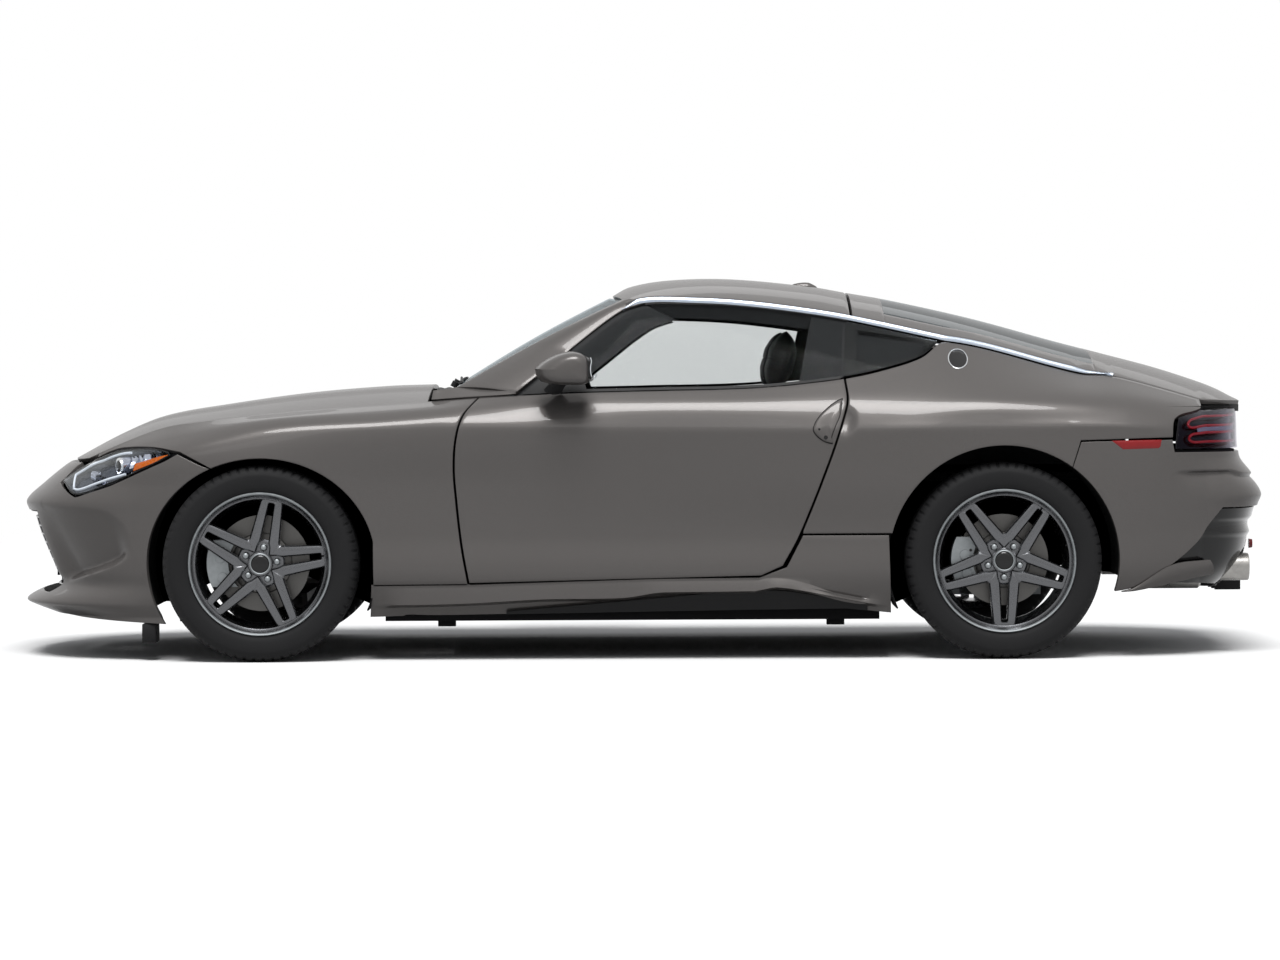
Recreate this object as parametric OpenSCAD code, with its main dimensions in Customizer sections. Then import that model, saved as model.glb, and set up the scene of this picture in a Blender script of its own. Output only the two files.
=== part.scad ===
// Two-seat coupe: nose towards -X, left side towards -Y, ground at z = 0.
// Body panels lie on one surface, drawn as a table of offsets: half-breadths along a few
// character lines, with a rounded nose and tail.

/* [Body] */
// Overall length from the nose to the tail
body_l = 4388; // [4200:4:4600]
// Overall width over the rear arches
body_w = 1844; // [1760:4:1940]
// Height of the roof above the ground
body_h = 1318; // [1260:2:1380]
// Distance from the nose to the front axle
front_overhang = 889; // [840:1:940]
// Distance between the axles
wheelbase = 2550; // [2450:5:2650]
// Thickness of wings, bumpers and lids
panel_t = 22; // [16:1:28]
// Thickness of the roof and of the walls behind the doors
wall_t = 55; // [40:1:70]
// Thickness of a door from its skin to its trim
door_t = 95; // [75:1:105]
// Thickness of the window glass
glass_t = 5; // [4:0.5:7]
// Gap at the shut lines of doors and lids
shut_gap = 7; // [6:0.5:9]
// Gap between neighbouring fixed panels
seam_gap = 3; // [2:0.5:5]

/* [Wheels] */
// Radius of the tyre
tyre_r = 337; // [320:1:345]
// Width of the tyre
tyre_w = 245; // [205:1:265]
// Radius of the rim's outer flange
rim_r = 243; // [230:1:250]
// Radial gap between the tyre and the arch
arch_gap = 58; // [50:1:66]
// Gap over the top of the front tyre
front_arch_gap = 25; // [20:1:40]
// How far the tyre sits inside the arch lip
tyre_inset = 12; // [6:1:30]
// Circle that the wheel bolts lie on
bolt_circle = 114.3; // [100:0.1:130]
// Radius of a front brake disc
disc_r = 165; // [140:1:172]
// Radius of a rear brake disc
rear_disc_r = 157; // [135:1:168]
// Distance from the wheel's middle inboard to the steering pivot
pivot_offset = 66; // [50:1:80]

/* [Cabin] */
// Height of the cabin floor's underside above the ground
floor_z = 135; // [125:1:160]
// Width of one bucket seat
seat_w = 500; // [440:5:520]
// Distance of a seat's middle from the car's middle
seat_y = 355; // [340:5:370]
// Outer diameter of the steering wheel
wheel_d = 365; // [340:1:380]

/* [Mounts] */
// Spacing of the number plate's two holes
plate_hole_spacing = 178; // [150:1:200]
// Diameter of the number plate's holes
plate_hole_d = 6; // [5:0.5:8]
// Side of a square jacking pad
jack_pad = 60; // [40:2:70]

/* [Hidden] */

paint = "#8b8785";
black = "#202225";
glass = "#2c3a40";
clear = "#9fb0bb";
rubber = "#26282a";
alloy = "#54575b";
metal = "#9a9da0";
trim = "#303236";

// ---- Places along the car. The lines below are drawn on a 4388 x 1844 x 1318 body with
// axles at -1305 and 1245, and stretched between nose, axles and tail to the named sizes.
front_x = -body_l / 2 + front_overhang;
rear_x = front_x + wheelbase;
stretch = [[-2194, -body_l / 2], [-1305, front_x], [1245, rear_x], [2194, body_l / 2]];
high = body_h / 1318;
wide = body_w / 1844;
arch_r = tyre_r + arch_gap;
wheel_y = 910 * wide - tyre_inset - tyre_w / 2;
pivot_y = wheel_y - pivot_offset;

function along(x) = lookup(x, stretch);
function back(x) = lookup(x, [for (p = stretch) [p[1], p[0]]]);

// Smooth curve through [t, value] pairs: a cubic with the neighbours' slope at each pair
function span(p, t, i = 0) = (i >= len(p) - 2 || t < p[i + 1][0]) ? i : span(p, t, i + 1);
function slope(p, i) =
    let (a = max(i - 1, 0), b = min(i + 1, len(p) - 1)) (p[b][1] - p[a][1]) / (p[b][0] - p[a][0]);
function smooth(p, t) =
    let (i = span(p, t), h = p[i + 1][0] - p[i][0], u = min(max((t - p[i][0]) / h, 0), 1))
    p[i][1] * (2 * u * u * u - 3 * u * u + 1) + p[i + 1][1] * (3 * u * u - 2 * u * u * u)
    + slope(p, i) * h * (u * u * u - 2 * u * u + u) + slope(p, i + 1) * h * (u * u * u - u * u);

// ---- Character lines: [place along the car, height or half-breadth]
sill_y = [[-1750, 790], [-900, 815], [0, 825], [860, 835], [1650, 810], [1950, 720]];
low_y = [[-1750, 825], [-1305, 890], [-900, 872], [0, 872], [860, 888], [1245, 912], [1650, 872],
    [1950, 790]];
mid_y = [[-1750, 832], [-1305, 898], [-900, 868], [0, 862], [860, 884], [1245, 918], [1650, 882],
    [1950, 805]];
high_y = [[-1750, 838], [-1305, 902], [-900, 872], [0, 874], [860, 902], [1245, 922], [1650, 888],
    [1950, 815]];
shoulder_y = [[-1938, 815], [-1750, 842], [-1305, 880], [-900, 880], [0, 895], [600, 900], [1245, 914],
    [1650, 880],
    [1950, 812]];
shoulder_z = [[-1938, 652], [-1750, 690], [-1305, 768], [-900, 795], [0, 790], [600, 788], [1245, 797],
    [1650, 800],
    [1950, 780]];
upper_y = [[-1938, 815], [-1713, 775], [-1305, 822], [-900, 826], [-558, 842], [0, 866], [600, 862],
    [900, 862],
    [1245, 862], [1650, 800], [1950, 728]];
upper_z = [[-1938, 672], [-1713, 745], [-1305, 824], [-900, 850], [-558, 866], [0, 872], [600, 878],
    [900, 885],
    [1245, 895], [1650, 890], [1950, 848]];
edge_y = [[-1938, 800], [-1713, 672], [-1592, 676], [-1246, 700], [-727, 716], [-558, 775], [-275, 812],
    [34, 818],
    [412, 808], [722, 780], [894, 738], [979, 702], [1062, 630], [1530, 612], [1644, 608], [1958, 630]];
edge_z = [[-1938, 691], [-1713, 786], [-1592, 818], [-1246, 855], [-727, 891], [-558, 903], [-275, 917],
    [34, 924],
    [412, 933], [722, 966], [894, 1006], [979, 1037], [1062, 1090], [1530, 977], [1644, 968], [1958, 882]];
rail_y = [[-246, 700], [-69, 630], [17, 612], [347, 610], [724, 614], [1062, 630]];
rail_z = [[-246, 1064], [-69, 1198], [17, 1227], [173, 1227], [347, 1217], [554, 1192], [724, 1164],
    [1062, 1090]];
centre_z = [[-2020, 688], [-1837, 784], [-1693, 841], [-1477, 879], [-1189, 918], [-901, 941], [-735, 946]];
roof_z = [[-106, 1254], [-36, 1291], [108, 1315], [324, 1318], [612, 1290], [737, 1268]];
hatch_z = [[737, 1268], [901, 1239], [1189, 1173], [1477, 1093], [1693, 1036], [1837, 997], [1981, 950],
    [2053, 921], [2104, 891]];
nose_x = [[150, -2090], [176, -2162], [191, -2194], [209, -2176], [256, -2089], [300, -2104], [430, -2158],
    [505, -2183], [547, -2192], [608, -2125],
    [666, -2053], [690, -2015]];
tail_x = [[200, 1990], [250, 2080], [315, 2143], [400, 2170], [450, 2160], [516, 2176], [555, 2194],
    [624, 2154],
    [690, 2108], [890, 2106]];

function at(line, k, x) = smooth(line, back(x)) * k;
function edge_height(x) = at(edge_z, high, x);

// Half-breadth of the body side at place x and height z
function section(x) = [[150 * high, at(sill_y, wide, x)], [290 * high, at(low_y, wide, x)],
    [430 * high, at(mid_y, wide, x)], [600 * high, at(high_y, wide, x)],
    [at(shoulder_z, high, x), at(shoulder_y, wide, x)], [at(upper_z, high, x), at(upper_y, wide, x)],
    [edge_height(x), at(edge_y, wide, x)]];

// Nose and tail close in plan as superellipses: angle 90 is the middle, 0 where the side starts
nose_start = along(-1440);
tail_start = along(1560);
nose_power = 2.6;
tail_power = 4.5;
function tip(z, rear) =
    rear ? along(smooth(tail_x, z / high)) : along(smooth(nose_x, min(z / high, 690)));
// and below 0 along the straight side, a degree for each 10 mm
side_step = 10;
function cap_angle(x, z, rear) =
    let (x0 = rear ? tail_start : nose_start, s = (x - x0) / (tip(z, rear) - x0))
    s <= 0 ? -abs(x - x0) / side_step : asin(min(pow(s, (rear ? tail_power : nose_power) / 2), 1));
function cap_point(a, z, rear) =
    let (x0 = rear ? tail_start : nose_start, n = rear ? tail_power : nose_power, b = max(a, 0),
         x = x0 + (tip(z, rear) - x0) * pow(sin(b), 2 / n) + (rear ? 1 : -1) * side_step * min(a, 0))
    [x, smooth(section(x), z) * pow(max(cos(b), 0), 2 / n), z];
function breadth(x, z) =
    x < nose_start || x > tail_start
    ? let (rear = x > 0, a = cap_angle(x, z, rear))
      smooth(section(x), z) * pow(max(cos(a), 0), 2 / (rear ? tail_power : nose_power))
    : smooth(section(x), z);

// Half-breadth of the side windows, which bow a little between the belt and the rail
window_bow = 10;
function window_y(x, z) =
    let (z0 = edge_height(x), z1 = at(rail_z, high, x), y0 = at(edge_y, wide, x), y1 = at(rail_y, wide, x),
         t = min(max((z - z0) / max(z1 - z0, 8), 0), 1))
    y0 + (y1 - y0) * t + window_bow * sin(180 * t);

// Point on the left side, moved inboard by t along the section's normal
function side_point(x, z, t = 0) =
    let (y = breadth(x, z), g = (y - breadth(x, z - 2)) / 2, n = sqrt(1 + g * g))
    [x, -(y - t / n), z + t * g / n];
function cap_inset(a, z, t, rear) =
    let (p = cap_point(a, z, rear), x1 = rear ? 1 : -1, b = max(a, 0), e = max(cos(b), 0.02))
    [p[0] - x1 * t * sin(b), -max(p[1] - t * e, 0), z];

// ---- Outlines. Points are [x, z] on the drawn body; real() moves them to the named sizes
function real(pts) = [for (p = pts) [along(p[0]), p[1] * high]];
function length_to(p, i) = i == 0 ? 0 : norm(p[i] - p[i - 1]) + length_to(p, i - 1);
// n + 1 points spaced evenly along the line of straight pieces through pts
function spread(pts, n) =
    let (d = [for (i = [0:len(pts) - 1]) length_to(pts, i)], total = d[len(d) - 1])
    [for (k = [0:n]) let (s = total * k / n, i = span([for (v = d) [v]], s),
        u = (s - d[i]) / (d[i + 1] - d[i]))
        pts[i] * (1 - u) + pts[i + 1] * u];
// One outline from several stretches, each [points, count], sharing their end points
function joined(parts) = [for (k = [0:len(parts) - 1]) let (q = spread(parts[k][0], parts[k][1]))
    for (i = [(k == 0 ? 0 : 1):len(q) - 1]) q[i]];
function arch(x, rise, a0, a1, n) = [for (i = [0:n]) let (a = a0 + (a1 - a0) * i / n)
    [x + arch_r * cos(a), tyre_r + (sin(a) > 0 ? rise : arch_r) * sin(a)]];
// Rows of points between two outlines with as many points each
function rows(a, b, m) = [for (j = [0:m]) [for (i = [0:len(a) - 1]) a[i] * (1 - j / m) + b[i] * j / m]];
// Rows that meet four outlines: low and high run front to back, fore and aft run upwards
function coons(low, high, fore, aft) =
    let (n = len(low) - 1, m = len(fore) - 1)
    [for (j = [0:m]) [for (i = [0:n]) let (u = i / n, v = j / m)
        low[i] * (1 - v) + high[i] * v + fore[j] * (1 - u) + aft[j] * u
        - low[0] * (1 - u) * (1 - v) - low[n] * u * (1 - v) - high[0] * (1 - u) * v - high[n] * u * v]];

// Closed solid between two equal grids of points
module slab(outer, inner) {
    m = len(outer);
    n = len(outer[0]);
    away = cross(outer[0][1] - outer[0][0], outer[1][0] - outer[0][0]) * (outer[0][0] - inner[0][0]);
    function quad(a, b, c, d, turn) = turn ? [[a, b, c], [a, c, d]] : [[c, b, a], [d, c, a]];
    k = m * n;
    faces = [
        for (j = [0:m - 2]) for (i = [0:n - 2]) let (a = j * n + i)
            for (f = quad(a, a + 1, a + n + 1, a + n, away < 0)) f,
        for (j = [0:m - 2]) for (i = [0:n - 2]) let (a = k + j * n + i)
            for (f = quad(a, a + 1, a + n + 1, a + n, away > 0)) f,
        for (i = [0:n - 2]) for (f = quad(i, i + 1, k + i + 1, k + i, away > 0)) f,
        for (i = [0:n - 2]) let (a = (m - 1) * n + i)
            for (f = quad(a, a + 1, k + a + 1, k + a, away < 0)) f,
        for (j = [0:m - 2]) let (a = j * n) for (f = quad(a, a + n, k + a + n, k + a, away < 0)) f,
        for (j = [0:m - 2]) let (a = j * n + n - 1) for (f = quad(a, a + n, k + a + n, k + a, away > 0)) f];
    polyhedron([for (r = outer) for (p = r) p, for (r = inner) for (p = r) p], faces, convexity = 10);
}

module side_panel(grid, t = panel_t, t_end = panel_t, upright = false) {
    m = len(grid) - 1;
    slab([for (r = grid) [for (p = r) side_point(p[0], p[1])]],
         [for (j = [0:m]) let (w = t + (t_end - t) * j / m) [for (p = grid[j])
            upright ? [p[0], -(breadth(p[0], p[1]) - w), p[1]] : side_point(p[0], p[1], w)]]);
}

module both_sides() {
    children();
    mirror([0, 1, 0]) children();
}

// Facets only: joins shapes that need no true curves
module facets() {
    resize([0, 0, 0]) union() children();
}

module box(x0, x1, y0, y1, z0, z1) {
    translate([x0, y0, z0]) cube([x1 - x0, y1 - y0, z1 - z0]);
}

// ---- Door outline, inset by g from its shut line: front, rear, bottom and belt edges
door_front = [[-592, 264], [-616, 401], [-633, 555], [-640, 657], [-633, 760], [-609, 842], [-558, 903]];
door_rear = [[489, 320], [548, 429], [650, 686], [695, 822], [712, 891], [705, 962]];
front_line = spread(real(door_front), 10);
rear_line = spread(real(door_rear), 10);
function door_grid(g) =
    let (f = [for (p = front_line) p + [g, 0]], r = [for (p = rear_line) p - [g, 0]],
         low = joined([[[f[0], [along(411), 286 * high]], 10], [[[along(411), 286 * high], r[0]], 2]]),
         belt = spread([f[10], each [for (x = [-400:180:680]) [along(x), edge_height(along(x)) - 1]],
             r[10]], 12))
    coons([for (p = low) p + [0, g]], belt, [for (j = [0:10]) f[j] + [0, g * (1 - j / 10)]],
          [for (j = [0:10]) r[j] + [0, g * (1 - j / 10)]]);
door_rebate = 16;

module door() {
    outer = door_grid(shut_gap / 2);
    inner = door_grid(shut_gap / 2 + door_rebate);
    slab([for (r = outer) [for (p = r) side_point(p[0], p[1])]],
         [for (j = [0:10]) [for (p = inner[j])
            [p[0], -(breadth(p[0], p[1]) - door_t * (1 - 0.5 * max(0, j - 5) / 5)),
                p[1] - (j == 10 ? 6 : 0)]]]);
}

// ---- Glass
pillar_edge = [[-428, 920], [-246, 1064], [-69, 1198], [17, 1229]];
window_tail = 1030;
shut_top = [717, 1164];
shut_low = [698, 968];
module window_pane(grid) {
    slab([for (r = grid) [for (p = r) [p[0], -window_y(p[0], p[1]), p[1]]]],
         [for (r = grid) [for (p = r) [p[0], -window_y(p[0], p[1]) + glass_t * 1.2, p[1]]]]);
}
function rail_line(x0, x1, n, drop) =
    [for (i = [0:n]) let (x = along(x0 + (x1 - x0) * i / n)) [x, at(rail_z, high, x) - drop]];
function belt_line(x0, x1, n, lift) =
    [for (i = [0:n]) let (x = along(x0 + (x1 - x0) * i / n)) [x, edge_height(x) + lift]];
glass_seal = 7;
module door_glass() {
    lower = belt_line(-404, shut_low[0] - shut_gap, 14, 2);
    pillar = [for (p = real(pillar_edge)) p + [18, -8]];
    upper = joined([[pillar, 6], [concat([pillar[3]],
        rail_line(90, shut_top[0] - shut_gap, 8, glass_seal)), 8]]);
    window_pane(rows(lower, upper, 6));
}
module quarter_window() {
    window_pane(rows(belt_line(shut_low[0] + 3, window_tail, 6, 6),
        rail_line(shut_top[0] + 3, window_tail, 6, 4), 4));
}

// ---- Windshield and roof
function screen_edge(t) = [along(-632 + 577 * t), (690 - 128 * t) * wide,
    (936 + 304 * t + 10 * sin(180 * t)) * high];
function screen_point(u, v, t = 0) =
    let (e = screen_edge(v), c = [along(-652 + 546 * v), 0, (944 + 309 * v + 12 * sin(180 * v)) * high],
         w = 1 - pow(abs(u), 2.2))
    [e[0] * (1 - w) + c[0] * w + t * 0.5, e[1] * u, e[2] * (1 - w) + c[2] * w - t * 0.87];
module windshield() {
    steps = [for (j = [0:8]) 0.01 + j / 8 * 0.98];
    color(glass) slab([for (v = steps) [for (i = [-8:8]) screen_point(i / 8 * 0.97, v)]],
        [for (v = steps) [for (i = [-8:8]) screen_point(i / 8 * 0.97, v, glass_t)]]);
}
strip_rise = 20;
function roof_edge(x) = [at(rail_y, wide, x) - 6, at(rail_z, high, x) + strip_rise * high];
function roof_point(x, u, t) =
    let (e = roof_edge(x), zc = at(roof_z, high, x), crown = pow(abs(u), 2.4))
    [x, e[0] * u * (1 - t / e[0]), zc - (zc - e[1]) * crown - t];
roof_end = 734;
module roof_shell() {
    function place(u, v) = let (x0 = along(-98 + 50 * u * u)) x0 + (along(roof_end) - shut_gap / 2 - x0) * v;
    slab([for (j = [0:12]) [for (i = [-8:8]) roof_point(place(i / 8, j / 12), i / 8, 0)]],
         [for (j = [0:12]) [for (i = [-8:8]) roof_point(place(i / 8, j / 12), i / 8, wall_t * 0.6)]]);
}
// Side rail with the bright strip on it, from the pillar's top to its tip above the rear wheel
strip_end = 1644;
rail_t = 10;
function strip_base(x) =
    back(x) < 1062 ? [at(rail_y, wide, x), at(rail_z, high, x)] : [breadth(x, edge_height(x)),
        edge_height(x)];
function strip_height(x) = strip_rise * high * min(1, max(0.05, (strip_end + 8 - back(x)) / 200));
module roof_rail() {
    xs = concat([for (i = [0:8]) along(-40 + (roof_end - 16 + 40) * i / 8)],
        [for (i = [0:10]) along(roof_end - 5 + (strip_end - roof_end + 5) * i / 10)]);
    slab([for (x = xs) let (e = strip_base(x), r = strip_height(x)) [[x, -e[0], e[1]],
        [x, -e[0] + 6, e[1] + r]]],
         [for (x = xs) let (e = strip_base(x), r = strip_height(x),
             t = back(x) < roof_end - 10 ? wall_t : rail_t)
            [[x, -e[0] + t, e[1]], [x, -e[0] + 6 + t, e[1] + r - (t > rail_t ? 6 : 0)]]]);
}
module front_pillar() {
    n = 8;
    side = spread(real(pillar_edge), n);
    slab([for (j = [0:n]) let (e = screen_edge(j / n), p = side[j])
            [[e[0], -e[1], e[2]], [p[0], -window_y(p[0], p[1]), p[1]]]],
         [for (j = [0:n]) let (e = screen_edge(j / n), p = side[j])
            [[e[0] + 22, -e[1] + 12, e[2] - 36], [p[0] + 2, -window_y(p[0], p[1]) + wall_t * 0.9, p[1]]]]);
}
// Foot of the pillar, filling the corner between bonnet, wing and windshield
module pillar_foot() {
    low = [for (x = [-712, -620, -530, -428]) [along(x), -at(edge_y, wide, along(x)) + 2,
        edge_height(along(x)) + shut_gap]];
    top = [for (t = [0, 0.08, 0.17, 0.28]) let (e = screen_edge(t)) [e[0] - 44 * (1 - t / 0.28), -e[1],
        e[2] + 2]];
    slab([low, top], [[for (p = low) p + [0, 40, -1]], [for (p = top) p + [10, 18 * wide, -30]]]);
}
module roof() {
    color(paint) facets() {
        roof_shell();
        both_sides() {
            roof_rail();
            front_pillar();
            pillar_foot();
        }
    }
}

// ---- Wings and quarters
wing_seam = [[-1890, 700], [-1838, 724], [-1786, 737], [-1678, 739], [-1600, 726], [-1580, 722]];
module front_wings() {
    lip = arch(front_x, tyre_r + front_arch_gap, 115, 12, 18);
    low_end = [front_x + sqrt(arch_r * arch_r - pow(tyre_r - 262 * high, 2)), 262 * high];
    inner = joined([[real(wing_seam), 6], [[along(-1580) * [1, 0] + [0, 722 * high], lip[0]], 2], [lip, 18],
        [[lip[18], low_end], 2]]);
    crest = [for (i = [0:9]) let (x = along(-1560 + 833 * i / 9)) [x, edge_height(x) - 1],
        for (x = [-650, -572]) [along(x), edge_height(along(x)) - 1]];
    outer = concat(joined([[[for (i = [0:4])
        let (x = along(-1886 + 236 * i / 4)) [x, edge_height(x) - 1]], 6],
        [[for (x = [-1650, -1560]) [along(x), edge_height(along(x)) - 1]], 2], [crest, 9]]),
        [for (i = [10:-1:0]) front_line[i] - [shut_gap / 2 + 2.5, 0]]);
    color(paint) both_sides() side_panel(rows(inner, outer, 8));
}
quarter_foot = 432;
module rear_quarters() {
    lip = arch(rear_x, arch_r, 166, 54, 24);
    fore = [for (i = [2:10]) rear_line[i] + [shut_gap / 2, 0]];
    start = [rear_line[2][0] + shut_gap / 2 - 2, quarter_foot * high];
    outer = concat([start], fore, joined([[concat([fore[8]], belt_line(709, 1062, 6, -1)), 4],
        [belt_line(1062, strip_end, 8, -seam_gap - 2), 5], [belt_line(strip_end, 1946, 3, 0), 3],
        [real([[1946, 882], [1944, 858], [1850, 832], [1830, 812], [1828, 756]]), 4]]));
    n = len(outer) - 1;
    inner = spread(lip, n);
    aft = joined([[[inner[n], real([[1507, 748]])[0]], 2], [real([[1507, 748], [1828, 756]]), 6]]);
    color(paint) both_sides() side_panel(coons(inner, outer, spread([inner[0], outer[0]], 8), aft),
        wall_t * 0.6,
        rail_t, true);
}
module side_skirts() {
    r = arch_r;
    fore = front_x + sqrt(r * r - pow(tyre_r - 200, 2)) + 4;
    aft = rear_x - sqrt(r * r - pow(tyre_r - 300, 2)) - 2;
    low = joined([[concat([[fore, 150 * high]], real([[-294, 160], [370, 170]])), 14],
        [real([[370, 170], [500, 171]]), 1],
        [real([[500, 171], [556, 172]]), 2], [concat(real([[556, 172], [705, 173]]),
            [[aft + 8, 158 * high]]), 5]]);
    top = concat([[fore + 6, 258 * high]], real([[-592, 258], [62, 276], [405, 280], [500, 318],
        [556, 426]]),
        [[aft, 428 * high]]);
    color(paint) both_sides() side_panel(rows(low,
        joined([[[for (i = [0:3]) top[i]], 14], [[top[3], top[4]], 1],
        [[top[4], top[5]], 2], [[top[5], top[6]], 5]]), 5), upright = true);
}

// ---- Nose
lamp_low = [[-2012, 618], [-1954, 577], [-1828, 617], [-1678, 682], [-1614, 711]];
lamp_top = [[-2012, 623], [-1961, 657], [-1902, 688], [-1838, 714], [-1786, 727], [-1678, 729],
    [-1614, 716]];
// Outline points as [angle around the nose, height], so that a patch closes in the middle
function around(pts, rear) = [for (p = pts) [cap_angle(p[0], p[1], rear), p[1]]];
module cap_panel(grid, rear, t) {
    slab([for (r = grid) [for (p = r) let (q = cap_point(p[0], p[1], rear)) [q[0], -q[1], q[2]]]],
         [for (r = grid) [for (p = r) cap_inset(p[0], p[1], t, rear)]]);
}
// The same from side to side: each row of the left half starts in the middle
module full_cap_panel(grid, rear, t) {
    function whole(row) = [for (i = [len(row) - 1:-1:0]) row[i], for (i = [1:len(row) - 1]) [row[i][0],
        -row[i][1], row[i][2]]];
    slab([for (r = grid) whole([for (p = r) let (q = cap_point(p[0], p[1], rear)) [q[0], -q[1], q[2]]])],
         [for (r = grid) whole([for (p = r) cap_inset(p[0], p[1], t, rear)])]);
}
grille_w = 470;
grille_z = [215, 520];
module front_bumper() {
    arch_edge = around(arch(front_x, tyre_r + front_arch_gap, 208, 117, 15), false);
    heights = [150, 176, 191, 209, 232, 256, 300, 360, 430, 500, 526, 547, 575, 604, 645, 681];
    fore = [for (z = heights) [90, z * high]];
    low = spread([fore[0], arch_edge[0]], 21);
    lamp = around(real([[-1952, 682], [-2031, 613], [-1958, 562], [-1828, 604], [-1678, 670],
        [-1596, 710]]), false);
    waist = joined([[[fore[15], lamp[0]], 6], [[lamp[0], [min(lamp[1][0], lamp[0][0] - 1), lamp[1][1]]], 1],
        [[[min(lamp[1][0], lamp[0][0] - 1), lamp[1][1]], lamp[2], lamp[3], lamp[4], lamp[5]], 10],
        [[lamp[5], arch_edge[15]], 4]]);
    color(paint) facets() difference() {
        full_cap_panel(coons(low, waist, fore, arch_edge), false, panel_t);
        box(-body_l, nose_start, -grille_w, grille_w, grille_z[0] * high, grille_z[1] * high);
    }
}
lamp_depth = 40;
module headlights() {
    outer = rows(around(spread(real(lamp_low), 12), false), around(spread(real(lamp_top), 12), false), 3);
    color(clear) both_sides() slab(
        [for (r = outer) [for (p = r) let (q = cap_point(p[0], p[1], false)) [q[0], -q[1], q[2]]]],
        [for (j = [0:3]) [for (i = [0:12]) let (p = outer[j][i] * 0.55 + (outer[0][i] + outer[3][i]) * 0.225)
            cap_inset(p[0], p[1] - 12, lamp_depth, false)]]);
}
module grille() {
    x0 = along(-2075);
    color(black) difference() {
        box(x0, x0 + 70, -grille_w + 6, grille_w - 6, grille_z[0] * high + 4, grille_z[1] * high - 4);
        for (z = [grille_z[0] * high + 24:36:grille_z[1] * high - 40])
            box(x0 - 1, x0 + 50, -grille_w + 26, grille_w - 26, z, z + 22);
    }
}
cowl_half = 650;
module cowl() {
    function place(x, i, drop) = let (u = i / 8)
        [along(x) + 14 * u * u, u * cowl_half * wide, (938 - 30 * pow(abs(u), 2.4)) * high - drop];
    color(black) slab([for (x = [-724, -690, -664]) [for (i = [-8:8]) place(x, i, 16)]],
        [for (x = [-724, -690, -664]) [for (i = [-8:8]) place(x, i, 40)]]);
}
lid_gap = shut_gap + 2;
bonnet_nose = [-2012, -1925];
bonnet_end = -736;
function bonnet_point(u, v, t) =
    let (w = abs(u), x1 = along(bonnet_end), xe = along(bonnet_nose[1]), x0 = along(bonnet_nose[0]),
         side_x = xe + (x1 - xe) * v, x = side_x + (x0 + (x1 - x0) * v - side_x) * (1 - pow(w, 2.6)),
         ze = edge_height(side_x), y = breadth(side_x, ze - 1) - lid_gap, zc = at(centre_z, high, x),
         ridge = 8 * (1 - pow(min(w / 0.5, 1), 2)) * min(v * 4, 1), lean = t * max(0, 0.9 - 2.6 * v))
    [x + lean, u * (y - t * 0.7), zc - (at(centre_z, high, side_x) - ze) * pow(w, 2.2)
        + ridge - 8 * min(v * 4, 1) - sqrt(t * t - lean * lean)];
module bonnet() {
    steps = [for (j = [0:18]) pow(j / 18, 1.15)];
    color(paint) slab([for (v = steps) [for (i = [-10:10]) bonnet_point(i / 10, v, 0)]],
        [for (v = steps) [for (i = [-10:10]) bonnet_point(i / 10, v, panel_t)]]);
}

// ---- Tail
lamp_inner = 392;
lamp_turn = 74;
tail_corner = [[2007, 505], [1820, 300]];
module rear_bumper() {
    arch_edge = around(arch(rear_x, arch_r, -12, 50, 8), true);
    corner = around(real(tail_corner), true);
    low = joined([[[[90, 508 * high], corner[0]], 10], [corner, 6], [[corner[1], arch_edge[0]], 4]]);
    crest = joined([[[[90, 700 * high], each around(real([[1834, 700]]), true)], 12],
        [around(real([[1834, 700], [1822, 742]]), true), 1],
        [around(real([[1822, 742], [1512, 740]]), true), 6],
        [[each around(real([[1512, 740]]), true), arch_edge[8]], 1]]);
    color(paint) full_cap_panel(coons(low, crest, spread([low[0], crest[0]], 8), arch_edge), true, panel_t);
}
lamp_skin = 26;
module tail_lights() {
    color("#7a1820") both_sides() cap_panel(rows(
        spread([each around(real([[1842, 712]]), true), [lamp_turn, 712 * high]], 8),
        joined([[around(real([[1858, 822], [1941, 846]]), true), 2],
            [[each around(real([[1941, 846]]), true), [lamp_turn, 850 * high]], 6]]), 3), true, lamp_skin);
}
tip_y = 560;
tip_z = 300;
tip_d = 96;
tip_gap = 12;
module diffuser() {
    corner = [for (p = around(real(tail_corner), true)) p - [0, seam_gap + 2]];
    top = joined([[[[90, 508 * high - seam_gap], corner[0]], 8], [corner, 6]]);
    foot = spread([[90, 235 * high], each around(real([[1826, 262]]), true)], 14);
    color(black) facets() difference() {
        full_cap_panel(rows(foot, top, 6), true, panel_t);
        both_sides() translate([along(1900), -tip_y * wide, tip_z * high]) rotate([0, 90, 0])
            cylinder(h = body_l / 2 + 106 - along(1900), d = tip_d + 2 * tip_gap, $fn = 32);
    }
}
module exhaust() {
    end_x = along(2118);
    color(metal) both_sides() {
        translate([along(1960), -tip_y * wide, tip_z * high]) rotate([0, 90, 0]) difference() {
            cylinder(h = end_x - along(1960), d = tip_d, $fn = 48);
            translate([0, 0, 40]) cylinder(h = 400, d = tip_d - 8, $fn = 48);
        }
        translate([along(1700), -tip_y * wide, tip_z * high]) rotate([0, 90, 0])
            cylinder(h = along(1960) - along(1700) - 4, d = 150, $fn = 48);
    }
}
function hatch_edge(x) =
    let (b = strip_base(x)) [b[0] - 6 - rail_t - shut_gap,
        b[1] + strip_height(x) * (back(x) < strip_end ? 1 : 0)];
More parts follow.
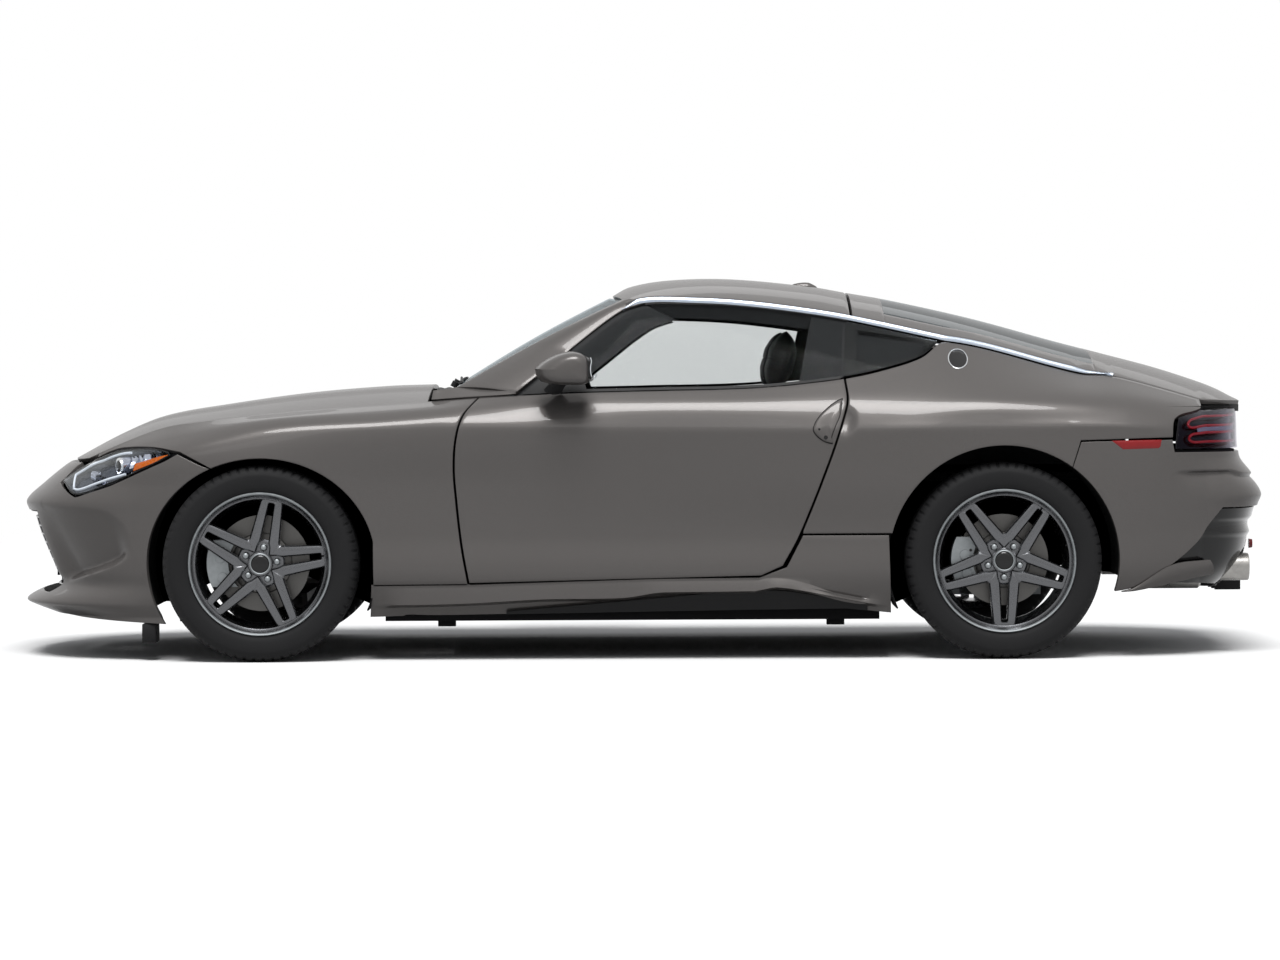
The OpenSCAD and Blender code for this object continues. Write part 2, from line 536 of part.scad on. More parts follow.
function hatch_point(x, u, t) =
    let (e = hatch_edge(min(x, along(1958))), zc = at(hatch_z, high, x),
        past = max(x - along(1958), 0) / 150)
    [x, u * (e[0] * (1 - 0.27 * pow(past, 2)) - t),
        zc - (zc - min(e[1] - 4 * past, zc)) * pow(abs(u), 2.4) - t];
module hatch_skin(t, x0, x1, n, u1, lift = 0) {
    xs = [for (i = [0:n]) along(x0 + (x1 - x0) * i / n)];
    slab([for (x = xs) [for (i = [-8:8]) hatch_point(x, i / 8 * u1, -lift)]],
         [for (x = xs) [for (i = [-8:8]) hatch_point(x, i / 8 * u1, t)]]);
}
hatch_front = 737;
window_front = 850;
window_rear = 1590;
window_share = 0.86;
module hatch() {
    color(paint) facets() {
        difference() {
            hatch_skin(panel_t, hatch_front + 3.5, 2104, 20, 1);
            hatch_skin(panel_t + 20, window_front, window_rear, 10, window_share, 20);
        }
        box(along(2070), along(2104), -lamp_inner * wide, lamp_inner * wide, 716 * high, 880 * high);
    }
}
module hatch_glass() {
    color(glass) hatch_skin(glass_t + 2, window_front + 2, window_rear - 2, 10, window_share - 0.006);
}

// ---- Structure
tunnel_w = 190;
liner_inner = wheel_y - tyre_w / 2 - 120;
deck_gap = 33;
engine_half = 230;
rail_share = 0.23;
module floor_pan() {
    deck = liner_inner - deck_gap;
    rail_out = liner_inner - deck_gap - 60;
    rail_in = rail_out - (liner_inner - engine_half) * rail_share;
    fx = along(-640);
    rx = along(760);
    half = 812 * wide - panel_t;
    color(trim) {
        difference() {
            union() {
                box(fx, rx, -half, half, floor_z, floor_z + 30);
                both_sides() box(along(-880), along(820), -half, -half + 150, floor_z, 250 * high);
                box(fx, rx, -tunnel_w / 2, tunnel_w / 2, floor_z, floor_z + 230);
                box(fx - 30, fx, -half + 60, half - 60, floor_z, 860 * high);
                box(rx - 30, rx, -half + 60, half - 60, floor_z, 600 * high);
                box(rx - 30, along(1990), -deck, deck, 570 * high, 600 * high);
                both_sides() box(along(-1980), fx - 30, -rail_out, -rail_in, 400, 500);
                box(along(-1990), along(-1950), -520 * wide, 520 * wide, 380, 500);
            }
            box(fx - 100, rx + 100, -tunnel_w / 2 + 25, tunnel_w / 2 - 25, floor_z - 10, floor_z + 205);
        }
        both_sides() for (x = [along(-700), along(640)])
            box(x, x + jack_pad, -half + 20, -half + 20 + jack_pad, floor_z - 20, floor_z);
    }
}
module engine() {
    color(metal) box(front_x - 60, along(-690), -engine_half, engine_half, 260, 760 * high);
}
dash_half = 680;
column = [along(-240), -seat_y, 800 * high];
column_tilt = 68;
module dashboard() {
    color(trim) difference() {
        union() {
            translate([0, dash_half * wide, 0]) rotate([90, 0, 0]) linear_extrude(2 * dash_half * wide)
                polygon(real([
                [-590, 640], [-590, 880], [-540, 905], [-360, 885], [-300, 840], [-300, 720], [-380, 620]]));
            box(along(-380), along(430), -tunnel_w / 2, tunnel_w / 2, floor_z + 232, 480 * high);
            box(along(-420), along(-300), -130, 130, floor_z + 232, 720 * high);
        }
        translate(column) rotate([0, column_tilt, 0]) translate([0, 0, -180])
            cylinder(h = 180, r = 34, $fn = 48);
    }
}
module seat() {
    translate([0, seat_w / 2, 0]) rotate([90, 0, 0]) linear_extrude(seat_w)
        polygon([[-250, 190], [-250, 330],
        [-180, 350], [150, 300], [215, 330], [380, 930], [470, 945], [500, 905], [300, 210], [260, 180]]);
    translate([400, -130, 940]) cube([90, 260, 165]);
    for (s = [-1, 1]) translate([-200, s * 170 - 20, floor_z + 30.5]) cube([400, 40, 200]);
}
module seats() {
    color(trim) for (s = [-1, 1]) translate([along(60), s * seat_y, 0]) facets() seat();
}
module steering_wheel() {
    color(trim) translate(column) rotate([0, column_tilt, 0]) {
        rotate_extrude($fn = 72) translate([wheel_d / 2 - 16, 0]) circle(r = 16, $fn = 24);
        translate([0, 0, -30]) cylinder(h = 40, r = 60, $fn = 48);
        for (a = [0, 90, 270]) rotate(a + 90) translate([40, -16, -8]) cube([wheel_d / 2 - 58, 32, 14]);
        translate([0, 0, -110]) cylinder(h = 90, r = 20, $fn = 32);
    }
}

// ---- Running gear
module arm(x, half, inner_y, outer_y, z, t) {
    translate([x, 0, z]) linear_extrude(t) polygon([[-half, -inner_y], [half, -inner_y], [28, -outer_y],
        [-28, -outer_y]]);
}
module front_subframe() {
    color(metal) {
        box(front_x - 130, front_x + 130, -400, 400, 165, 215);
        both_sides() {
            arm(front_x, 110, 404, pivot_y - 20, 178, 26);
            box(front_x - 50, front_x + 50, -420, -380, 216, 395);
        }
    }
}
disc_half = 13;
pad_gap = 6;
pad_t = 26;
stub_r = 22;
// Caliper over the front part of a disc, with the arm that carries it
module caliper(x, r) {
    module quarter(y, t, inner, outer)
        translate([x, y, tyre_r]) rotate([90, 0, 0]) linear_extrude(t) difference() {
            intersection() {
                circle(r = outer, $fn = 72);
                translate([-r - 40, -80]) square([130, 160]);
            }
            circle(r = inner, $fn = 72);
        }
    reach = disc_half + pad_gap;
    quarter(-(wheel_y - reach - pad_t), pad_t, r - 52, r + 22);
    quarter(-(wheel_y + reach), pad_t, r - 52, r + 22);
    quarter(-(wheel_y - reach - pad_t), 2 * (reach + pad_t), r + 7, r + 22);
    box(x - r + 10, x - 30, -(wheel_y - reach - pad_t), -pivot_y + 20, tyre_r - 45, tyre_r + 45);
}
module stub_axle(x, inner) {
    translate([x, -wheel_y - 34, tyre_r]) rotate([-90, 0, 0])
        cylinder(h = wheel_y + 34 - inner, r = stub_r, $fn = 48);
}
module knuckle() {
    color(metal) {
        box(front_x - 38, front_x + 38, -pivot_y - 4, -pivot_y + 40, 210, 480);
        box(front_x - 150, front_x - 30, -pivot_y + 12, -pivot_y + 40, 225, 250);
        stub_axle(front_x, pivot_y - 4);
        caliper(front_x, disc_r);
    }
}
module rear_subframe() {
    color(metal) {
        box(rear_x - 160, rear_x + 160, -420, 420, 200, 250);
        box(rear_x - 110, rear_x + 130, -130, 130, 250, 430);
        both_sides() {
            stub_axle(rear_x, 120);
            box(rear_x - 45, rear_x + 45, -pivot_y - 4, -pivot_y + 40, 205, 430);
            arm(rear_x, 130, 410, pivot_y - 30, 205, 30);
            caliper(rear_x, rear_disc_r);
        }
    }
}
liner_gap = 4;
liner_t = 6;
liner_reach = 760;
module arch_liners() {
    inner = liner_inner;
    color(black) both_sides() for (x = [front_x, rear_x])
        translate([x, -inner, tyre_r]) rotate([90, 0, 0]) linear_extrude(liner_reach * wide - inner)
            intersection() {
            difference() {
                circle(r = arch_r + liner_gap + liner_t, $fn = 96);
                circle(r = arch_r + liner_gap, $fn = 96);
            }
            translate([-600, 60]) square([1200, 600]);
        }
}
module tyre_shape() {
    w = tyre_w / 2;
    rotate_extrude($fn = 128) polygon([[rim_r - 8, -w + 22], [rim_r + 12, -w + 6], [rim_r + 48, -w],
        [tyre_r - 28, -w + 7], [tyre_r - 8, -w + 24], [tyre_r, -w + 48], [tyre_r, w - 48],
            [tyre_r - 8, w - 24],
        [tyre_r - 28, w - 7], [rim_r + 48, w], [rim_r + 12, w - 6], [rim_r - 8, w - 22]]);
}
spoke_count = 5;
module rim_shape() {
    w = tyre_w / 2 - 14;
    difference() {
        union() {
            rotate_extrude($fn = 128) polygon([[rim_r - 9, -w - 4], [rim_r - 9, w - 14], [rim_r - 10, w + 2],
                [rim_r + 0, w + 5], [rim_r - 2, w + 9], [rim_r - 18, w + 8], [rim_r - 22, w - 20],
                [rim_r - 40, 20], [rim_r - 40, -20], [rim_r - 22, -w]]);
            translate([0, 0, 34]) cylinder(h = w - 52, r = 82, $fn = 64);
            for (k = [0:spoke_count - 1]) rotate(k * 360 / spoke_count) for (s = [-1, 1])
                translate([0, 0, 52]) linear_extrude(w - 60)
                    polygon([[52, s * 6], [60, s * 44], [rim_r - 14, s * 46],
                    [rim_r - 14, s * 18], [70, s * 10]]);
        }
        translate([0, 0, 20]) cylinder(h = 200, r = 34, $fn = 48);
        for (k = [0:spoke_count - 1]) rotate((k + 0.0) * 360 / spoke_count)
            translate([bolt_circle / 2, 0, 20]) cylinder(h = 200, d = 15, $fn = 32);
    }
}
module disc_shape(r) {
    difference() {
        union() {
            translate([0, 0, -disc_half]) cylinder(h = 2 * disc_half, r = r, $fn = 96);
            cylinder(h = 32, r = 78, $fn = 64);
        }
        translate([0, 0, -20]) cylinder(h = 80, r = 30, $fn = 48);
        for (k = [0:spoke_count - 1]) rotate(k * 360 / spoke_count)
            translate([bolt_circle / 2, 0, -20]) cylinder(h = 80, d = 15, $fn = 32);
    }
}
// Left wheels: the shape's +Z faces outboard, towards -Y
module at_wheel(x, turn) {
    translate([x, -wheel_y, tyre_r]) rotate([90, 0, 0]) rotate(turn) children();
}
front_turn = 7;
rear_turn = 54;
module on_right() {
    mirror([0, 1, 0]) children();
}

module plate_carrier() {
    x = along(-2075) - 8;
    color(black) translate([x, 0, 330 * high]) rotate([0, 90, 0]) difference() {
        translate([-58, -155, 0]) cube([116, 310, 8]);
        for (s = [-1, 1]) translate([-30, s * plate_hole_spacing / 2, -1])
            cylinder(h = 12, d = plate_hole_d, $fn = 32);
    }
}
mirror_reach = 1020;
module mirror_shape() {
    cap = real([[-362, 1000], [-330, 1040], [-235, 1060], [-184, 1030], [-184, 980], [-300, 962]]);
    foot = real([[-350, 918], [-290, 985], [-230, 985], [-250, 921]]);
    color(paint) facets() {
        translate([0, -870 * wide, 0]) rotate([90, 0, 0]) linear_extrude((mirror_reach - 870) * wide)
            polygon(cap);
        translate([0, -825 * wide, 0]) rotate([90, 0, 0]) linear_extrude(70 * wide) polygon(foot);
    }
}

// ---- The pieces
floor_pan();
front_wings();
rear_quarters();
roof();
windshield();
color(glass) both_sides() quarter_window();  // quarter_windows
front_bumper();
grille();
headlights();
rear_bumper();
tail_lights();
diffuser();
exhaust();
side_skirts();
dashboard();
seats();
front_subframe();
rear_subframe();
engine();
arch_liners();
cowl();
plate_carrier();
bonnet();
hatch();
hatch_glass();
color(paint) door();  // door_left
color(paint) on_right() door();  // door_right
color(glass) door_glass();  // door_glass_left
color(glass) on_right() door_glass();  // door_glass_right
mirror_shape();  // mirror_left
on_right() mirror_shape();  // mirror_right
steering_wheel();
knuckle();  // front_knuckle_left
on_right() knuckle();  // front_knuckle_right
color(rubber) at_wheel(front_x, 0) tyre_shape();  // tyre_front_left
color(rubber) on_right() at_wheel(front_x, 0) tyre_shape();  // tyre_front_right
color(rubber) at_wheel(rear_x, 0) tyre_shape();  // tyre_rear_left
color(rubber) on_right() at_wheel(rear_x, 0) tyre_shape();  // tyre_rear_right
color(alloy) at_wheel(front_x, front_turn) rim_shape();  // rim_front_left
color(alloy) on_right() at_wheel(front_x, front_turn)  // rim_front_right
    rim_shape();
color(alloy) at_wheel(rear_x, rear_turn) rim_shape();  // rim_rear_left
color(alloy) on_right() at_wheel(rear_x, rear_turn)  // rim_rear_right
    rim_shape();
color(metal) at_wheel(front_x, front_turn)  // brake_disc_front_left
    disc_shape(disc_r);
color(metal) on_right() at_wheel(front_x, front_turn) disc_shape(disc_r);  // brake_disc_front_right
color(metal) at_wheel(rear_x, rear_turn)  // brake_disc_rear_left
    disc_shape(rear_disc_r);
color(metal) on_right() at_wheel(rear_x, rear_turn) disc_shape(rear_disc_r);  // brake_disc_rear_right
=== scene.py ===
# %% [markdown]
# # A coupe car, dressed around its measured frame
# The frame is the finished construction: panels, wheels and joints at their real places.
# This lesson gives it its looks. Every body panel is drawn again as a fine surface that
# follows the same character lines, because reflections in car paint show every flat facet.
# All shapes are worked out in millimetres and turned into metres when a mesh is made.

# %% Load the frame
import bpy
import numpy as np
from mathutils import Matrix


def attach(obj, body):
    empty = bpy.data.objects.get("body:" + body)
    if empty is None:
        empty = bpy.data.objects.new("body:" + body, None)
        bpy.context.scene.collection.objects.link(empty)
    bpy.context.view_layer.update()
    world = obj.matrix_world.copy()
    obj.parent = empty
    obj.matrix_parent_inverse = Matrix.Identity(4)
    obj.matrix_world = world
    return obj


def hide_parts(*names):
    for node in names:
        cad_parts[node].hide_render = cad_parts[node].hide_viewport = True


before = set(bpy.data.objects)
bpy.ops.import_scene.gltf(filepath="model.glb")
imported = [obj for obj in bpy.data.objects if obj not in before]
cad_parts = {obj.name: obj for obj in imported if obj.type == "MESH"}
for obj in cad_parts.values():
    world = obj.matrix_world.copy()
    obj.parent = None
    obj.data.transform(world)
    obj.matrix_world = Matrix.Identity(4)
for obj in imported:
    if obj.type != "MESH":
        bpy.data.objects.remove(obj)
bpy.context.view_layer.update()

# %% [markdown]
# ## Curves
# A car body is drawn with a few character lines. Each one is a list of stations with a
# value at each, and a cubic carries it smoothly from one station to the next. The same
# idea turns a few outline points into an even row of mesh points.

# %% Smooth lines through a few points
def cubic(y0, y1, rise0, rise1, u):
    """Cubic from y0 to y1 as u goes from 0 to 1, leaving with rise0 and arriving with rise1."""
    return (y0 * (2 * u**3 - 3 * u**2 + 1) + y1 * (3 * u**2 - 2 * u**3)
            + rise0 * (u**3 - 2 * u**2 + u) + rise1 * (u**3 - u**2))

def slopes_of(x, y):
    """Slope at each knot: its two neighbours' at the inner ones, and the last piece's at the ends."""
    return np.concatenate([(y[1:2] - y[:1]) / (x[1:2] - x[:1]), (y[2:] - y[:-2]) / (x[2:] - x[:-2]),
                           (y[-1:] - y[-2:-1]) / (x[-1:] - x[-2:-1])])

def smooth(pairs, t):
    """Cubic through [t, value] pairs: each pair takes its neighbours' slope, held flat outside."""
    x, y = np.asarray(pairs, float).T
    slope, t = slopes_of(x, y), np.asarray(t, float)
    i = np.clip(np.searchsorted(x, t, side="right") - 1, 0, len(x) - 2)
    h = x[i + 1] - x[i]
    return cubic(y[i], y[i + 1], slope[i] * h, slope[i + 1] * h, np.clip((t - x[i]) / h, 0, 1))

def stack(*values):
    """Points from one array for each coordinate, stretched to one shape."""
    return np.stack(np.broadcast_arrays(*values), -1)

def step(a, b, t):
    """0 before a, 1 after b and an S-shaped rise between them; a may be larger than b."""
    u = np.clip((np.asarray(t, float) - a) / (b - a), 0, 1)
    return u * u * (3 - 2 * u)

def lengths(p):
    """How far along its row each point lies."""
    return np.concatenate([[0], np.cumsum(np.linalg.norm(np.diff(p, axis=0), axis=1))])

def spread(points, n):
    """n + 1 points spaced evenly along the straight pieces that join the given points."""
    p = np.asarray(points, float)
    d = lengths(p)
    s = np.linspace(0, d[-1], n + 1)
    return stack(*[np.interp(s, d, p[:, c]) for c in range(p.shape[1])])

def curve(points, n):
    """n + 1 even points on the smooth curve through the given points."""
    p = np.asarray(points, float)
    d = lengths(p)
    s = np.linspace(0, d[-1], 24 * len(p))
    return spread(stack(*[smooth(stack(d, p[:, c]), s) for c in range(p.shape[1])]), n)

def joined(*rows_of_points):
    """One row of points from several that share their end points."""
    return np.concatenate([rows_of_points[0]] + [r[1:] for r in rows_of_points[1:]])

def between(a, b, m):
    """Grid of m + 1 rows that change evenly from outline a to outline b."""
    v = np.linspace(0, 1, m + 1)[:, None, None]
    return a[None] * (1 - v) + b[None] * v

def coons(low, high, fore, aft):
    """Grid that meets four outlines: low and high run front to back, fore and aft upwards."""
    u = np.linspace(0, 1, len(low))[None, :, None]
    v = np.linspace(0, 1, len(fore))[:, None, None]
    return (low[None] * (1 - v) + high[None] * v + fore[:, None] * (1 - u) + aft[:, None] * u
            - low[0] * (1 - u) * (1 - v) - low[-1] * u * (1 - v) - high[0] * (1 - u) * v - high[-1] * u * v)

print("a smooth line at 0.5:", float(smooth([[0, 0], [1, 2], [2, 2]], 0.5)))

# %% [markdown]
# ## The body's surface
# A cross-section of the side is a curve through seven heights, from the sill to the edge of
# the bonnet or window. Each height and half-breadth is itself a line along the car. Over the
# doors and the rear wheel the shoulder is a crease, so there the curve is drawn in two
# pieces that meet at an angle, and averaged over a few millimetres to a small radius.

# %% Character lines: [place along the car, height or half-breadth]
SILL_Y = [[-1750, 790], [-900, 815], [0, 825], [860, 835], [1650, 810], [1950, 720]]
LOW_Y = [[-1750, 825], [-1305, 890], [-900, 872], [0, 872], [860, 888], [1245, 912], [1650, 872], [1950, 790]]
MID_Y = [[-1750, 832], [-1305, 898], [-900, 868], [0, 862], [860, 884], [1245, 918], [1650, 882], [1950, 805]]
HIGH_Y = [[-1750, 838], [-1305, 902], [-900, 872], [0, 874], [860, 902], [1245, 922], [1650, 888],
          [1950, 815]]
SHOULDER_Y = [[-1938, 815], [-1750, 842], [-1305, 880], [-900, 880], [0, 895], [600, 900], [1245, 914],
              [1650, 880], [1950, 812]]
SHOULDER_Z = [[-1938, 652], [-1750, 690], [-1305, 768], [-900, 795], [0, 790], [600, 788], [1245, 797],
              [1650, 800], [1950, 780]]
UPPER_Y = [[-1938, 815], [-1713, 775], [-1305, 822], [-900, 826], [-558, 842], [0, 866], [600, 862],
           [900, 862], [1245, 862], [1650, 800], [1950, 728]]
UPPER_Z = [[-1938, 672], [-1713, 745], [-1305, 824], [-900, 850], [-558, 866], [0, 872], [600, 878],
           [900, 885], [1245, 895], [1650, 890], [1950, 848]]
EDGE_Y = [[-1938, 800], [-1713, 672], [-1592, 676], [-1246, 700], [-727, 716], [-558, 775], [-275, 812],
          [34, 818], [412, 808], [722, 780], [894, 738], [979, 702], [1062, 630], [1530, 612], [1644, 608],
          [1958, 630]]
EDGE_Z = [[-1938, 691], [-1713, 786], [-1592, 818], [-1246, 855], [-727, 891], [-558, 903], [-275, 917],
          [34, 924], [412, 933], [722, 966], [894, 1006], [979, 1037], [1062, 1090], [1530, 977], [1644, 968],
          [1958, 882]]
RAIL_Y = [[-246, 700], [-69, 630], [17, 612], [347, 610], [724, 614], [1062, 630]]
RAIL_Z = [[-246, 1064], [-69, 1198], [17, 1227], [173, 1227], [347, 1217], [554, 1192], [724, 1164],
          [1062, 1090]]
CENTRE_Z = [[-2020, 688], [-1837, 784], [-1693, 841], [-1477, 879], [-1189, 918], [-901, 941], [-735, 946]]
ROOF_Z = [[-106, 1254], [-36, 1291], [108, 1315], [324, 1318], [612, 1290], [737, 1268]]
HATCH_Z = [[737, 1268], [901, 1239], [1189, 1173], [1477, 1093], [1693, 1036], [1837, 997], [1981, 950],
           [2053, 921], [2104, 891]]
NOSE_X = [[150, -2090], [176, -2162], [191, -2192], [209, -2176], [256, -2089], [300, -2104], [430, -2158],
          [505, -2181], [547, -2190], [608, -2125], [666, -2053], [690, -2015]]
TAIL_X = [[200, 1990], [250, 2080], [315, 2143], [400, 2170], [450, 2160], [516, 2176], [555, 2190],
          [624, 2154], [690, 2108], [890, 2106]]
FRONT_X, REAR_X, TYRE_R, ARCH_R = -1305, 1245, 337, 395
NOSE_START, TAIL_START, NOSE_POWER, TAIL_POWER = -1440, 1560, 2.6, 4.5
print("axle to axle:", REAR_X - FRONT_X, "mm")

# %% Points on the side, the nose and the tail
def through(z_knots, y_knots, z):
    """The same cubic as smooth(), but with knots that differ from point to point."""
    slope = slopes_of(z_knots, y_knots)
    i = np.clip((z >= z_knots).sum(0) - 1, 0, len(z_knots) - 2)[None]
    pick = lambda a, k: np.take_along_axis(a, k, 0)[0]
    z0, z1 = pick(z_knots, i), pick(z_knots, i + 1)
    return cubic(pick(y_knots, i), pick(y_knots, i + 1), pick(slope, i) * (z1 - z0),
                 pick(slope, i + 1) * (z1 - z0), np.clip((z - z0) / (z1 - z0), 0, 1))

def half_breadth(x, z):
    """The side's half-breadth: one soft curve at the front, and two that meet at the shoulder behind it."""
    x, z = np.broadcast_arrays(np.asarray(x, float), np.asarray(z, float))
    shape, x, z = x.shape, x.ravel(), z.ravel()
    heights = np.stack([0 * x + 150, 0 * x + 290, 0 * x + 430, 0 * x + 600,
                        smooth(SHOULDER_Z, x), smooth(UPPER_Z, x), smooth(EDGE_Z, x)])
    ys = np.stack([smooth(k, x) for k in (SILL_Y, LOW_Y, MID_Y, HIGH_Y, SHOULDER_Y, UPPER_Y, EDGE_Y)])
    soft = through(heights, ys, z)
    edged = sum(np.where(z + d > heights[4], through(heights[4:], ys[4:], z + d),
                         through(heights[:5], ys[:5], z + d)) for d in (-9, -6, -3, 0, 3, 6, 9)) / 7
    crease = step(-700, 100, x) * (1 - step(1700, 1900, x)) * (z < heights[6] - 25)
    return (soft + (edged - soft) * crease).reshape(shape)

def tip(z, rear):
    """Where the nose or the tail ends in the middle, at a height."""
    return smooth(TAIL_X, z) if rear else smooth(NOSE_X, np.minimum(z, 690))

def turn_at(x, z, rear):
    """Angle round the nose or tail at which the side view shows place x: 90 in the middle, 0 at the side.
    Ahead of the start of the curve the angle is negative, a degree for each 10 mm of straight side."""
    x0, power = (TAIL_START, TAIL_POWER) if rear else (NOSE_START, NOSE_POWER)
    s = (np.asarray(x, float) - x0) / (tip(np.asarray(z, float), rear) - x0)
    return np.where(s < 0, -np.abs(x - x0) / 10, np.degrees(np.arcsin(np.clip(s, 0, 1) ** (power / 2))))

def end_point(a, z, rear, inset=0.0):
    """Point on the nose or tail, a superellipse in plan, moved in by inset across it."""
    x0, power = (TAIL_START, TAIL_POWER) if rear else (NOSE_START, NOSE_POWER)
    way = 1 if rear else -1
    s, c = np.sin(np.radians(np.maximum(a, 0))), np.maximum(np.cos(np.radians(np.maximum(a, 0))), 0)
    x = x0 + (tip(z, rear) - x0) * s ** (2 / power) + 10 * way * np.minimum(a, 0)
    y = half_breadth(x, z) * c ** (2 / power)
    return stack(x - inset * s * way, -(y - inset * c), z + 0 * x)

def breadth(x, z):
    """Half-breadth anywhere, with the nose and tail rounded off in plan."""
    x, z = np.broadcast_arrays(np.asarray(x, float), np.asarray(z, float))
    full = half_breadth(x, z)
    nose = np.cos(np.radians(turn_at(np.minimum(x, NOSE_START), z, False))) ** (2 / NOSE_POWER)
    tail = np.cos(np.radians(turn_at(np.maximum(x, TAIL_START), z, True))) ** (2 / TAIL_POWER)
    return full * nose * tail

def side(p, inset=0.0):
    """Points on the left side over [x, z] points, moved inboard by inset."""
    x, z = p[..., 0], p[..., 1]
    return stack(x, -(breadth(x, z) - inset), z)

def edge_z(x):
    """Height of the side's upper edge."""
    return smooth(EDGE_Z, x)

def window_y(x, z):
    """Half-breadth of the side windows, bowed 10 mm between the belt and the rail."""
    z0, z1, y0, y1 = edge_z(x), smooth(RAIL_Z, x), smooth(EDGE_Y, x), smooth(RAIL_Y, x)
    t = np.clip((z - z0) / np.maximum(z1 - z0, 8), 0, 1)
    return y0 + (y1 - y0) * t + 10 * np.sin(np.pi * t)

def on_window(g, inset=0.0):
    """Points on the left window over [x, z] points, moved inboard by inset."""
    x, z = g[..., 0], g[..., 1]
    return stack(x, -(window_y(x, z) - inset), z)

print("half-breadth at the doors:", round(float(breadth(0, 790))), "mm")

# %% [markdown]
# ## Meshes from arrays
# A part is a pair: an array of points and an array of four-cornered faces. A face with its
# last corner twice is a triangle. A body panel is a closed shell: its outer skin, a small
# round at the shut lines, an edge turned inwards, and an inner skin behind.

# %% Grids, shells and solids of revolution
def quads(m, n, wrap_m=False, wrap_n=False):
    """Faces of a grid of m rows and n columns, joined round where wrap says so."""
    i, j = np.meshgrid(np.arange(m if wrap_m else m - 1), np.arange(n if wrap_n else n - 1), indexing="ij")
    a, b = (i + 1) % m, (j + 1) % n
    return stack(i * n + j, i * n + b, a * n + b, a * n + j).reshape(-1, 4)

def unit(v):
    """Vectors made one long."""
    return v / np.maximum(np.linalg.norm(v, axis=-1, keepdims=True), 1e-9)

def merge(*parts):
    """Several parts in one, with their face numbers moved on."""
    starts = np.cumsum([0] + [len(v) for v, f in parts[:-1]])
    return np.concatenate([v for v, f in parts]), np.concatenate([f + s for (v, f), s in zip(parts, starts)])

def flipped(part):
    """The part with its faces turned round."""
    return part[0], part[1][:, [1, 0, 3, 2]]

def outward(part):
    """Turns a closed part's faces out, by the sign of the volume they enclose."""
    v, f = part
    a, b, c, d = (v[f[:, k]] for k in range(4))
    volume = (a * np.cross(b, c)).sum() + (a * np.cross(c, d)).sum()
    return part if volume > 0 else flipped(part)

def mirrored(part):
    """The part on the other side of the car."""
    return flipped((part[0] * [1, -1, 1], part[1]))

def both(part):
    """The part on the left and on the right."""
    return merge(part, mirrored(part))

HANDS = (("left", lambda part: part), ("right", mirrored))

def fan(ring_numbers, centre_number):
    """Triangles from a ring of points to one point."""
    r = np.asarray(ring_numbers)
    c = np.full(len(r), centre_number)
    return stack(r, np.roll(r, -1), c, c)

def rounds(rings, tips=None):
    """Closed solid through equal rings, ending at two tips or else in the middle of the end rings."""
    g = np.asarray(rings, float)
    m, n = g.shape[:2]
    tips = g[[0, -1]].mean(1) if tips is None else tips
    faces = np.concatenate([quads(m, n, False, True), fan(np.arange(n), m * n)[:, [1, 0, 2, 3]],
                            fan((m - 1) * n + np.arange(n), m * n + 1)])
    return outward((np.concatenate([g.reshape(-1, 3), tips]), faces))

def circle(n):
    """n angles evenly round a circle."""
    return np.linspace(0, 2 * np.pi, n, endpoint=False)

def shell(outer, inner):
    """Closed solid between two equal grids that keep their own edges."""
    m, n = outer.shape[:2]
    k = m * n
    rim = np.concatenate([np.arange(n), np.arange(1, m) * n + n - 1, (m - 1) * n + np.arange(n - 2, -1, -1),
                          np.arange(m - 2, 0, -1) * n])
    wall = stack(rim, np.roll(rim, -1), np.roll(rim, -1) + k, rim + k)
    faces = np.concatenate([quads(m, n), quads(m, n)[:, [1, 0, 3, 2]] + k, wall[:, [1, 0, 3, 2]]])
    return outward((np.concatenate([outer.reshape(-1, 3), inner.reshape(-1, 3)]), faces))

